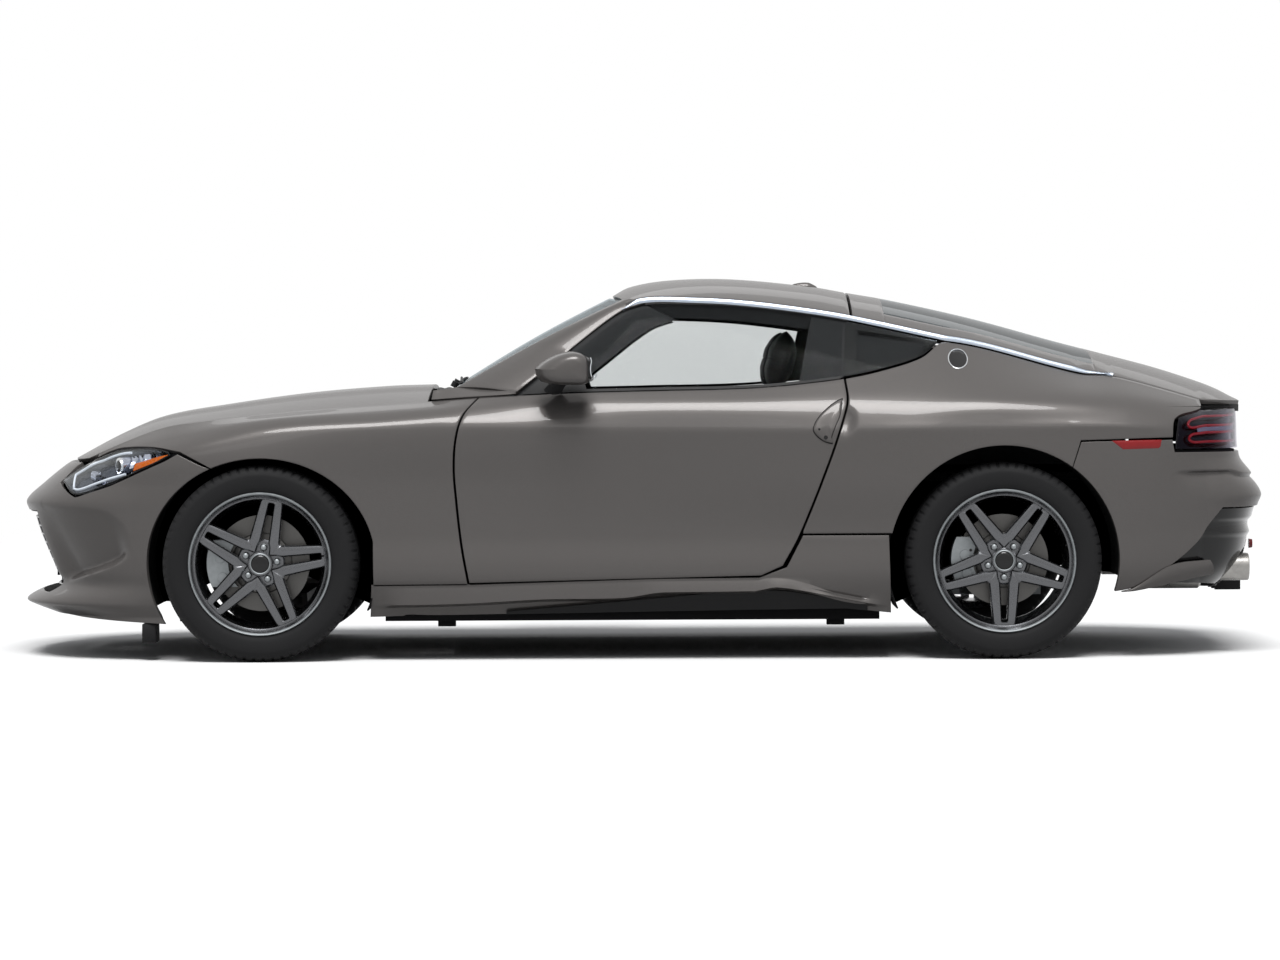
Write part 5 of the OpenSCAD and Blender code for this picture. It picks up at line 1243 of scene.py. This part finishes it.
# %% Rim barrel, hub, nuts and cap
rim_inside = lathe([[234, -117], [236, 100], [240, 110], [243.5, 112], [244, 117], [240, 118], [235, 111],
                    [229, 103], [223, 98], [219, 84], [214, 50], [206, 18], [206, -24], [216, -92],
                    [226, -114], [238, -118]], 160)
hub = lathe([[30, 30], [80, 30], [84, 50], [84, 58], [78, 63], [44, 64], [43.5, 88], [40, 92], [34, 92],
             [32, 90], [30, 84]], 96)
def nut():
    """Closed wheel nut: six flats with a domed top, on a round seat."""
    a = circle(48)
    flat = 1 / np.maximum(np.abs(np.cos((a + np.pi / 6) % (np.pi / 3) - np.pi / 6)), 0.5)
    rows = [(12.5, 0, 0), (12.5, 5, 0), (11.4, 7, 0.5), (10.2, 7.5, 1), (10.2, 20, 1), (8.6, 24.5, 0.4),
            (4.5, 27, 0)]
    rings = []
    for r, height, hexagon in rows:
        reach = r * (1 - hexagon + flat * hexagon)
        rings.append(stack(reach * np.cos(a), reach * np.sin(a), 62 + height))
    v, f = rounds(rings, [[0, 0, 62], [0, 0, 90]])
    return v + [57.15, 0, 0], f

cap = lathe([[31, 82], [31, 90], [28.5, 94], [20, 95.5], [8, 96]], 64, False)
cap_ring = lathe([[31, 88], [36, 88], [36.5, 92.5], [34, 94.5], [31.5, 93.5]], 64)
valve = tube([[205, 0, 70], [213, 0, 84], [220, 0, 97]], [4.5, 4, 3], 12)

# %% Tyre with shoulder blocks and grooves
def tyre():
    """Tread ring pushed in along its grooves, round and across; sidewalls with fine rings."""
    section = curve([[96, 237], [108, 241], [114.5, 250], [120, 266], [122.2, 288], [121, 304], [116.5, 316],
                     [110, 324], [101, 330], [88, 334], [60, 336.3], [0, 337]], 46)
    section = np.concatenate([section, (section * [-1, 1])[-2::-1]])
    w, r = section[:, :1], section[:, 1:]
    n = 448
    k = np.arange(n)[None]
    round_grooves = 7 * sum(np.exp(-((np.abs(w) - c) / 4.5) ** 6) for c in (18, 56))
    cross = ((k % 7) < 2) * step(74, 80, np.abs(w)) * (1 - step(116, 119, np.abs(w)))
    middle = (((k + np.sign(w) * 3) % 14) < 2) * step(26, 30, np.abs(w)) * (1 - step(44, 48, np.abs(w)))
    side_rings = 0.9 * (np.abs(r - 306) < 2) - 1.1 * (np.abs(r - 254) < 3)
    depth = (round_grooves * (r > 330) + 4.5 * cross * step(312, 326, r) + 4.5 * middle * (r > 330)
             - side_rings * (np.abs(w) > 100))
    a = 2 * np.pi * (k / n)
    out = np.where(np.abs(w) > 108, 0.35, 1.0)
    rr, ww = r - depth * out, w - np.sign(w) * depth * (1 - out)
    v = stack(rr * np.cos(a), rr * np.sin(a), ww)
    lining = np.array([[-96.0, 229], [0, 231], [96, 229]])
    inner_ring = stack(lining[:, 1:] * np.cos(a), lining[:, 1:] * np.sin(a), lining[:, :1])
    rings = np.concatenate([v, inner_ring])
    return outward((rings.reshape(-1, 3), quads(len(rings), n, True, True)))

# %% Brakes
def disc(r):
    """Vented disc: two plates with vanes between them, and the hat over the hub."""
    plate = [[r - 62, 5], [r, 5], [r, 12.4], [r - 60, 12.6], [r - 62, 11]]
    plates = [lathe(np.multiply(plate, [1, face]), 128) for face in (-1, 1)]
    vane = block(r - 60, r - 3, -2.2, 2.2, -5.5, 5.5, 1)
    hat = lathe([[30, -8], [r - 58, -8], [r - 58, 8], [r - 72, 12], [78, 14], [76, 31], [30, 31]], 96)
    return merge(*plates, spun(vane, 36), hat)

def caliper(r):
    """Bridge over the disc's rim with two piston bosses, and apart from it its pads and pins."""
    outside = [[r - 50, 16.5], [r - 48, 34], [r - 40, 44], [r - 6, 45], [r + 8, 36], [r + 20, 20],
               [r + 21, -22], [r + 8, -36], [r - 8, -44], [r - 42, -42], [r - 50, -30], [r - 50, -16.5],
               [r + 4, -16.5], [r + 6, 0], [r + 4, 16.5]]
    bosses = [tube([polar(r - 24, a, 40), polar(r - 24, a, 49)], [19, 17], 32) for a in (172, 200)]
    pins = [tube([polar(r - 40, a, -38), polar(r - 40, a, 47)], 5, 12) for a in (163, 211)]
    pad = [[r - 50, 13.4], [r - 4, 13.4], [r - 4, 16.5], [r - 50, 16.5]]
    pads = [arc_bar(np.multiply(pad, [1, face]), 166, 208, 12) for face in (-1, 1)]
    return merge(arc_bar(outside, 160, 214, 24), *bosses), merge(*pins, *pads)

# %% The four corners
tyre_part, nuts = tyre(), spun(nut())
alloy_part = merge(spokes, rim_inside, hub)
flange = lathe([[237, 110], [244.5, 110], [245.5, 116], [243, 119], [239, 117.5], [236, 113]], 160)
for place, x0, turn, r in (("front", FRONT_X, 7, 165), ("rear", REAR_X, 54, 157)):
    bridge, pads = caliper(r)
    for hand, flip in HANDS:
        end = f"{place}_{hand}"
        wheel = f"wheel_{end}"
        holder = f"knuckle_{hand}" if place == "front" else "root"
        put = lambda p: flip(at_wheel(p, x0, turn))
        piece(f"tyre_{end}_tread", put(tyre_part), wheel, RUBBER, [f"tyre_{end}"], 30)
        piece(f"wheel_{end}_alloy", put(alloy_part), wheel, ALLOY, [f"rim_{end}"], 30)
        piece(f"wheel_{end}_bright", put(merge(nuts, cap_ring, flange)), wheel, CAST, (), 30)
        piece(f"wheel_{end}_cap", put(merge(cap, valve)), wheel, GLOSS, (), 50)
        piece(f"disc_{end}", put(disc(r)), wheel, DISC, [f"brake_disc_{end}"], 30)
        piece(f"caliper_{end}", flip(at_wheel(bridge, x0, 0)), holder, CAST, (), 30)
        piece(f"pads_{end}", flip(at_wheel(pads, x0, 0)), holder, STEEL, (), 30)

# %% [markdown]
# ## Cabin
# Two bucket seats stand low between the sills, with the dashboard and steering wheel ahead.
# A seat's cushion and backrest are padded forms: an outline seen from the side is carried
# across the seat, and its face is crowned, with raised bolsters and pressed seams.

# %% Seats
SEAT_X, SEAT_Y = 60.0, 355.0

def padded_form(spine, width, thick, bolster, seams=()):
    """Cushion along a curved spine in the side view, with bolsters at its sides and seams across.

    spine is [x, z], width and thick follow it from 0 to 1. The section is a superellipse whose top is
    raised by bolster towards the sides and hollowed between them."""
    p, channel = curve(spine, 60), 5.0
    s = np.linspace(0, 1, len(p))
    t = unit(np.gradient(p, axis=0))
    w = np.interp(s, np.linspace(0, 1, len(width)), width) * (1 - np.abs(2 * s - 1) ** 9 * 0.5) ** 0.5
    h = np.interp(s, np.linspace(0, 1, len(thick)), thick) * (1 - np.abs(2 * s - 1) ** 7 * 0.93)
    a = circle(44)
    ca, sa = np.sign(np.cos(a)) * np.abs(np.cos(a)) ** 0.55, np.sign(np.sin(a)) * np.abs(np.sin(a)) ** 0.8
    face = np.maximum(sa, 0)
    lift = h[:, None] * sa + face * bolster * (np.abs(ca) ** 3 - 0.35) * np.minimum(h / h.max(), 1)[:, None]
    for at in seams:
        lift -= channel * face * np.exp(-((s[:, None] - at) / 0.008) ** 2)
    between_ends = step(0.02, 0.08, s)[:, None] * (1 - step(0.92, 0.98, s))[:, None]
    for at in (-0.62, 0.62):
        lift -= channel * 1.2 * face * np.exp(-((ca - at) / 0.035) ** 2) * between_ends
    return rounds(stack(p[:, :1] - t[:, 1:] * lift, w[:, None] * ca, p[:, 1:] + t[:, :1] * lift),
                  np.insert(p[[0, -1]], 1, 0, axis=1))

def placed(part, y):
    """Stands a seat's part at one of the two seats."""
    return part[0] + [SEAT_X, y, 0], part[1]

cushion = padded_form([[-245, 292], [-150, 300], [0, 280], [150, 262], [235, 270]], [235, 245, 245, 235, 205],
                      [34, 62, 66, 62, 30], 30, (0.34, 0.66))
back = padded_form([[205, 280], [262, 420], [318, 600], [372, 790], [424, 945]], [215, 240, 240, 222, 180],
                   [40, 66, 64, 58, 34], 34, (0.26, 0.44, 0.62, 0.8))
head = padded_form([[404, 925], [424, 985], [444, 1060], [456, 1128]], [96, 130, 128, 92], [30, 50, 50, 26],
                   10, (0.5,))
post_bars = [tube([[415, s * 58, 880], [425, s * 58, 960]], 7, 12) for s in (-1, 1)]
back_shell = padded_form([[236, 262], [300, 420], [356, 600], [408, 780], [452, 925]],
                         [222, 236, 236, 214, 170], [30, 36, 36, 32, 18], 0)
rails = [block(-210, 200, s * 170 - 16, s * 170 + 16, 168, 205, 4) for s in (-1, 1)]
base = block(-200, 215, -205, 205, 196, 250, 14)
for hand, y in (("left", -SEAT_Y), ("right", SEAT_Y)):
    stands_for = ["seats"] if hand == "left" else ()
    pads = (("seat_cushion", cushion, stands_for), ("seat_back", back, ()), ("headrest", head, ()))
    for name, form, nodes in pads:
        piece(f"{name}_{hand}", placed(form, y), "root", LEATHER, nodes, 50)
    piece(f"seat_shell_{hand}", placed(merge(back_shell, base), y), "root", TRIM, (), 50)
    piece(f"seat_rails_{hand}", placed(merge(*rails, *post_bars), y), "root", BRIGHT)

# %% Seat belts and their buckles
def ribbon(path, width):
    """Flat band 1.6 mm thick along a path, its width lying along X and a little up."""
    p = curve(path, 40)
    t = unit(np.gradient(p, axis=0))
    half = unit(np.cross(t, [0.0, 1.0, 0.15])) * width / 2
    face = np.stack([p - half, p + half], 1)
    return shell(face, face + 1.6 * unit(np.cross(t, half))[:, None])

belt = ribbon([[640, -622, 1080], [640, -640, 880], [625, -655, 640], [610, -655, 420]], 46)
piece("belts", both(belt), "root", CARPET)
piece("belt_buckles", both(block(150, 176, -135, -112, 330, 400, 5)), "root", BLACK)

# %% Dashboard, console and steering wheel
dash_y = np.linspace(-672, 672, 90)
dash_outline = curve([[-392, 628], [-330, 690], [-305, 770], [-318, 832], [-362, 876], [-450, 898],
                      [-545, 902], [-588, 880]], 40)
dash_x, dash_z = dash_outline[:, :1], dash_outline[:, 1:]
hood = 34 * np.exp(-(((dash_y + SEAT_Y) / 170) ** 4))
gauges = 12 * sum(np.exp(-(((dash_y - c) / 48) ** 4)) for c in (-110, 0, 110))
dash_top = stack(dash_x + 12 * np.cos(dash_y / 672 * np.pi / 2), dash_y,
                 dash_z + (hood + gauges) * np.exp(-((dash_x + 400) / 60) ** 2))
dash_under = dash_top + np.array([-60.0, 0, -46.0]) * np.linspace(1, 0.3, 41)[:, None, None]
piece("dash_skin", shell(dash_top, dash_under), "root", TRIM, ["dashboard"], 60)
vents = [block(-330, -298, y - 52, y + 52, 742, 778, 8) for y in (-560, -130, 130, 560)]
screen = block(-332, -300, -118, 118, 792, 850, 6)
dials = [tube([[-352, y, 905], [-334, y, 898]], [40, 38], 40) for y in (-110, 0, 110)]
cluster = block(-400, -372, -SEAT_Y - 150, -SEAT_Y + 150, 852, 925, 14)
piece("dash_details", merge(*vents, screen, cluster, *dials), "root", GLOSS)
console = merge(block(-372, 420, -88, 88, 360, 452, 22), block(-400, -300, -120, 120, 440, 700, 24),
                block(120, 400, -80, 80, 445, 520, 22))
piece("console", console, "root", TRIM, (), 60)
knob = tube([[-70, 0, 528], [-72, 0, 548], [-73, 0, 572], [-74, 0, 584]], [14, 24, 22, 8], 24)
shifter = merge(tube([[-60, 0, 440], [-70, 0, 530]], 9, 16), knob)
brake = tube([[60, 52, 462], [-20, 52, 486], [-110, 52, 520]], [12, 12, 14], 16)
piece("shifter_and_brake", merge(shifter, brake), "root", GLOSS)
piece("glove_box", block(-316, -306, 190, 560, 640, 722, 5), "root", TRIM)
PEDALS = ((-430, 32), (-355, 32), (-270, 24))
arms = [tube([[-520, y, 480], [-500, y, 330]], 7, 10) for y, _ in PEDALS]
treads = [block(-506, -488, y - w, y + w, 285, 345, 4) for y, w in PEDALS]
piece("pedals", merge(*arms, *treads), "root", BRIGHT)

column, tilt = np.array([-240.0, -SEAT_Y, 800.0]), np.radians(68)

def on_column(part):
    """Stands a part, drawn about the column's axis, at the steering wheel's centre."""
    v, f = part
    c, s = np.cos(tilt), np.sin(tilt)
    return outward((column + stack(v[:, 0] * c + v[:, 2] * s, v[:, 1], -v[:, 0] * s + v[:, 2] * c), f))

GRIP_R = 167
ring, loop = circle(96)[:, None], circle(20)
thumb_rest = (np.abs((ring + np.pi / 2) % np.pi - np.pi / 2) - 0.45) / 0.2
grip = 14.5 + 2.0 * np.exp(-thumb_rest ** 2)
reach = GRIP_R + grip * np.cos(loop)
rim_v = stack(reach * np.cos(ring), reach * np.sin(ring), grip * np.sin(loop)).reshape(-1, 3)
wheel_rim = outward((rim_v, quads(96, 20, True, True)))
arms = []
for a, half in ((90, 30), (-90, 30), (0, 24)):
    path = [polar(30, a, -6), polar(80, a, -4), polar(130, a, 0), polar(162, a, 0)]
    arms.append(tube(path, [half, half * 0.8, half * 0.62, half * 0.7], 20, (1.0, 0.28)))
boss = lathe([[62, -28], [66, -16], [62, 4], [48, 12], [20, 15]], 64, False)
shaft = lathe([[20, -105], [20, -30]], 32, False)
piece("wheel_rim_grip", on_column(wheel_rim), "steering_wheel", LEATHER, ["steering_wheel"], 60)
piece("wheel_hub_arms", on_column(merge(boss, *arms, shaft)), "steering_wheel", TRIM, (), 50)
shroud = on_column(lathe([[34, -190], [46, -176], [44, -118], [36, -112]], 40, False))
stalks = [on_column(tube([[-10, way * 40, -130], [-24, way * 120, -122], [-30, way * 150, -116]], [6, 6, 9],
                         14)) for way in (-1, 1)]
piece("column_shroud", merge(shroud, *stalks), "root", BLACK)

# %% Headliner, pillars' trim, rear shelf and the mirror inside
hl_u, hl_v = np.linspace(-0.93, 0.93, 41)[None], np.linspace(0.02, 0.98, 30)[:, None]
piece("headliner", shell(roof_point(hl_u, hl_v, 34.0), roof_point(hl_u, hl_v, 40.0)), "root", HEADLINER,
      (), 60)
load_x, load_y = np.meshgrid(np.linspace(735, 1560, 30), np.linspace(-560, 560, 30))
load_floor = stack(load_x, load_y, 640 + 8 * np.cos(load_y / 160))
piece("load_floor", shell(load_floor, load_floor - [0, 0, 30]), "root", CARPET)
wall_y, wall_z = np.meshgrid(np.linspace(-700, 700, 20), np.linspace(170, 660, 12))
rear_wall = stack(742, wall_y, wall_z)
piece("rear_wall", shell(rear_wall, rear_wall + [14, 0, 0]), "root", CARPET)
trim_x, trim_z = np.moveaxis(between(np.linspace([735, 660], [1560, 660], 20),
                                     np.linspace([735, 935], [1560, 900], 20), 8), -1, 0)
side_trim = stack(trim_x, -(560 + 130 * (trim_z - 660) / 275), trim_z)
piece("rear_side_trim", both(shell(side_trim, side_trim + [0, 12.0, 0])), "root", TRIM)
carpet_x, carpet_y = np.meshgrid(np.linspace(-600, 735, 20), np.linspace(-625, -98, 12))
floor_mat = stack(carpet_x, carpet_y, 168)
piece("carpet", both(shell(floor_mat, floor_mat + [0, 0, 5.0])), "root", CARPET)
inner_mirror = merge(tube([[-62, 0, 1222], [-40, 0, 1195]], 8, 12),
                     block(-46, -18, -112, 112, 1148, 1200, 12))
piece("inner_mirror", inner_mirror, "root", BLACK)

# %% [markdown]
# ## Mirrors, handles and small parts

# %% Door mirrors
MIRROR_ROOT, MIRROR_REACH = 864, 154

def mirror_case():
    """Rounded shell: side outline rows shrunk and moved towards the tip."""
    outline = curve([[-362, 1003], [-338, 1024], [-300, 1046], [-262, 1058], [-228, 1060], [-197, 1048],
                     [-186, 1028], [-184, 990], [-189, 952], [-250, 947], [-320, 952], [-352, 970],
                     [-362, 1003]], 96)[:-1]
    middle_of = np.array([-262.0, 1002.0])
    rows = ((864, 0.62), (866, 0.80), (876, 0.93), (900, 1.0), (940, 1.0), (975, 0.96), (1000, 0.86),
            (1012, 0.70), (1018, 0.45))
    rings = []
    for y, k in rows:
        swept = ((y - MIRROR_ROOT) / MIRROR_REACH) ** 2
        q = middle_of + (outline - middle_of) * [k, k**0.8] + [22 * swept, -4 * swept]
        rings.append(stack(q[:, 0], -y, q[:, 1]))
    return rounds(rings)

case = mirror_case()
stem = tube([[-300, -838, 926], [-284, -856, 946], [-268, -884, 966]], [26, 22, 20], 24, (1.5, 0.7))
skirt_under = tube([[-330, -880, 968], [-262, -930, 962], [-214, -985, 974]], [15, 17, 11], 20, (1.6, 0.8))
glass_y, glass_t = np.meshgrid(np.linspace(878, 1000, 14), np.linspace(-1, 1, 10))
glass_swept = ((glass_y - MIRROR_ROOT) / MIRROR_REACH) ** 2
glass_half = 40 * (1 - 0.35 * np.abs((glass_y - 939) / 61) ** 3)
mirror_glass = stack(-178 + 14 * glass_swept + 4 * glass_t**2, -glass_y, 1000 + glass_half * glass_t)
glass_rim = shell(mirror_glass + [-6, 0, 0], (mirror_glass - [0, 0, 1000]) * [1, 1, 1.12] + [-16, 0, 1000])
for hand, turn in HANDS:
    piece(f"mirror_{hand}_case", turn(case), f"door_{hand}", PAINT, [f"mirror_{hand}"], 50)
    piece(f"mirror_{hand}_stem", turn(merge(stem, skirt_under)), f"door_{hand}", BLACK, (), 50)
    piece(f"mirror_{hand}_glass", turn(shell(mirror_glass, mirror_glass - [3, 0, 0])), f"door_{hand}", MIRROR,
          (), 40)
    piece(f"mirror_{hand}_bezel", turn(glass_rim), f"door_{hand}", GLOSS, (), 40)

# %% Pull handles: a raised flap on the door beside a scooped recess
flap_outline = curve([[693, 893], [672, 884], [640, 860], [608, 826], [592, 790], [604, 768], [632, 748],
                      [660, 742], [651, 750], [663, 790], [684, 840], [693, 893]], 66)[:-1]
flap_mid = np.array([640.0, 805.0])
flap_part = rounds([side(flap_mid + (flap_outline - flap_mid) * size, inset) for size, inset in
                    ((1.0, 5), (1.0, 0.0), (0.985, -3.0), (0.955, -4.6), (0.8, -5.4), (0.5, -5.8))])

def dot(x, z, r):
    """Small round button on the handle."""
    at = side(np.array([[x, z]]), -5.0)[0]
    return tube([at + [0, 1.5, 0], at - [0, 1.2, 0]], r, 24)

groove_line = side(flap_mid + (np.append(flap_outline, flap_outline[:1], 0) - flap_mid) * 1.02, 0.2)
dots = merge(dot(612, 790, 4.0), dot(634, 762, 7.0))
for hand, turn in HANDS:
    piece(f"handle_{hand}_flap", turn(flap_part), f"door_{hand}", PAINT, (), 50)
    piece(f"handle_{hand}_groove", turn(tube(groove_line, 1.5, 8)), f"door_{hand}", SEAL, (),
          60)
    piece(f"handle_{hand}_dots", turn(dots), f"door_{hand}", GLOSS)

# %% Roof fin and blank round badges
fin_x = np.linspace(548, 641, 24)[:, None]
fin_k, fin_a = (fin_x - 548) / 93, circle(20)
fin_up = np.maximum(np.sin(fin_a), 0)
fin_slope = np.interp(fin_x, [548, 610, 641], [0.55, 1, 0.75])
fin_high = 17 * np.sin(np.pi * np.clip(fin_k, 0, 1)) ** 0.5 * fin_slope
fin_wide = 13 * np.sin(np.pi * np.clip(fin_k, 0.02, 0.98)) ** 0.5 * (1 - 0.4 * fin_up)
fin_z = smooth(ROOF_Z, fin_x) - 1 + np.where(fin_up > 0, fin_high, 4) * np.sin(fin_a)
piece("roof_fin", rounds(stack(fin_x, fin_wide * np.cos(fin_a), fin_z)), "root", PAINT, (), 60)

def round_badge(rows):
    """Blank round part on the quarter panel, from rows of a radius and how far it lies inboard."""
    a, middle_of = circle(48), np.array([1100.0, 1030.0])
    return both(rounds([side(middle_of + r * stack(np.cos(a), np.sin(a)), inset) for r, inset in rows]))

badge_ring = [(35, 2), (35, -2.0), (33, -3.4), (31.5, -3.0), (31.2, -1.0)]
piece("badge_discs", round_badge([(31, 2), (31, -2.6), (20, -3.2)]), "root", GLOSS, (), 50)
piece("badge_rings", round_badge(badge_ring), "root", BRIGHT, (), 50)

# %% Wheel arch liners
def liner(x0, inner, y_out, a0, a1):
    """Dark tunnel over a wheel with a wall at its inner end; the front one tucks in behind the wheel."""
    a = np.radians(np.linspace(a0, a1, 60))
    tuck = 75 * step(135, 185, np.degrees(a)) * (x0 < 0)

    def layer(radius, end):
        tunnel = [(radius, y) for y in np.linspace(y_out, end, 8)]
        wall = [(r, end) for r in (360, 300, 240, 120, 20)]
        return np.array([stack(x0 + r * np.cos(a), -np.maximum(y - tuck, inner), TYRE_R + r * np.sin(a))
                         for r, y in tunnel + wall])

    return shell(layer(ARCH_R + 3, inner), layer(ARCH_R + 8, inner - 5))

liners = merge(liner(FRONT_X, 452, 846, -24, 202), liner(REAR_X, 533, 868, -8, 204))
piece("wheel_liners", both(liners), "root", LINER_AND_SHADE, ["arch_liners"], 60)

# %% Finishes of the CAD solids that stay in sight
# The floor pan takes the near-black felt finish as painted shade: it stands for the shadow under the car.
KEPT_NODES = (("floor_pan", LINER_AND_SHADE, "underbody"), ("front_subframe", STEEL, "steel"),
              ("rear_subframe", CAST, "cast_parts"), ("engine", CAST, "cast_parts"),
              ("plate_carrier", BLACK, "black_trim"), ("front_knuckle_left", CAST, "cast_parts"),
              ("front_knuckle_right", CAST, "cast_parts"))
for node, finish, slot_name in KEPT_NODES:
    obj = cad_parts[node]
    obj.data.materials.clear()
    obj.data.materials.append(finish)
print("cabin and small parts done")

# %% [markdown]
# ## Camera, floor and light
# The camera stands square to the left side, about eighteen metres away, with a long lens,
# so the car is seen almost without perspective. The floor and the background are a plain
# pale studio. One high lamp lights the car's side and roof, and a long lamp on each side
# draws the highlights that show the body's shape.

# %% Camera
camera_data = bpy.data.cameras.new("camera")
camera = bpy.data.objects.new("camera", camera_data)
bpy.context.scene.collection.objects.link(camera)
bpy.context.scene.camera = camera
camera.location = (0.0, -17.85, 1.03)
camera.rotation_mode = "XYZ"
camera.rotation_euler = (np.pi / 2, 0.0047, 0.0)
camera_data.lens, camera_data.sensor_width = 139.4, 36.0
camera_data.shift_y = -0.0938
camera_data.dof.use_dof = False
print("camera", [round(c, 2) for c in camera.location])

# %% Floor, white to look at and grey in what it scatters onto the car
def seen_directly(f):
    """Factor that is 1 for rays from the camera, a mirror or through glass, and 0 for scattered light."""
    ways = [f.node("ShaderNodeLightPath", {}, {}, f"Is {kind} Ray")
            for kind in ("Camera", "Glossy", "Transmission")]
    some = f.node("ShaderNodeMath", {"operation": "MAXIMUM"}, {0: ways[0], 1: ways[1]})
    return f.node("ShaderNodeMath", {"operation": "MAXIMUM"}, {0: some, 1: ways[2]})

FLOOR_HALF = 13.0
floor_mesh = bpy.data.meshes.new("floor")
floor_corners = [(x * FLOOR_HALF, y * FLOOR_HALF, 0) for x, y in ((-1, -1), (1, -1), (1, 1), (-1, 1))]
floor_mesh.from_pydata(floor_corners, [], [(0, 1, 2, 3)])
floor = bpy.data.objects.new("floor", floor_mesh)
bpy.context.scene.collection.objects.link(floor)
fl = Finish("pale_floor")
reach = fl.node("ShaderNodeVectorMath", {"operation": "LENGTH"}, {0: fl.place}, "Value")
fade = fl.ramp(reach * (1 / FLOOR_HALF), (0.5, (1, 1, 1)), (0.95, (0, 0, 0)))
pale = fl.shade(Base_Color=(0.93, 0.93, 0.93, 1), Roughness=0.9, Specular_IOR_Level=0.0, Alpha=fade)
grey = fl.shade(Base_Color=(0.18, 0.18, 0.18, 1), Roughness=0.9, Specular_IOR_Level=0.0, Alpha=fade)
floor_mesh.materials.append(fl.done(fl.node("ShaderNodeMixShader", {},
                                            {0: seen_directly(fl), 1: grey, 2: pale})))

# %% Light
def lamp(name, kind, place, aim, power, **settings):
    """Lamp of a kind standing at place and turned towards aim."""
    data = bpy.data.lights.new(name, kind)
    data.energy = power
    for key, value in settings.items():
        setattr(data, key, value)
    obj = bpy.data.objects.new(name, data)
    bpy.context.scene.collection.objects.link(obj)
    obj.location = place
    way = np.asarray(aim, float) - np.asarray(place, float)
    obj.rotation_euler = (np.arctan2(np.hypot(way[0], way[1]), -way[2]), 0.0,
                          np.arctan2(way[1], way[0]) - np.pi / 2)

lamp("sky", "SUN", (0, -4.4, 8), (0, 0, 0), 3.1, angle=0.5)
lamp("near_strip", "AREA", (0, -7.0, 4.6), (0, 0, 0.7), 42, shape="RECTANGLE", size=12.0, size_y=1.2)
lamp("far_strip", "AREA", (0, 7.0, 4.6), (0, 0, 0.7), 42, shape="RECTANGLE", size=12.0, size_y=1.2)

# %% Background
world = bpy.data.worlds.new("studio")
bpy.context.scene.world = world
w = Finish("studio", world)
soft = w.node("ShaderNodeBackground", {}, {"Color": (0.95, 0.97, 1.0, 1), "Strength": 0.30})
white = w.node("ShaderNodeBackground", {}, {"Color": (1, 1, 1, 1), "Strength": 1.0})
w.done(w.node("ShaderNodeMixShader", {}, {0: seen_directly(w), 1: soft, 2: white}))
bpy.context.scene.view_settings.view_transform = "Standard"
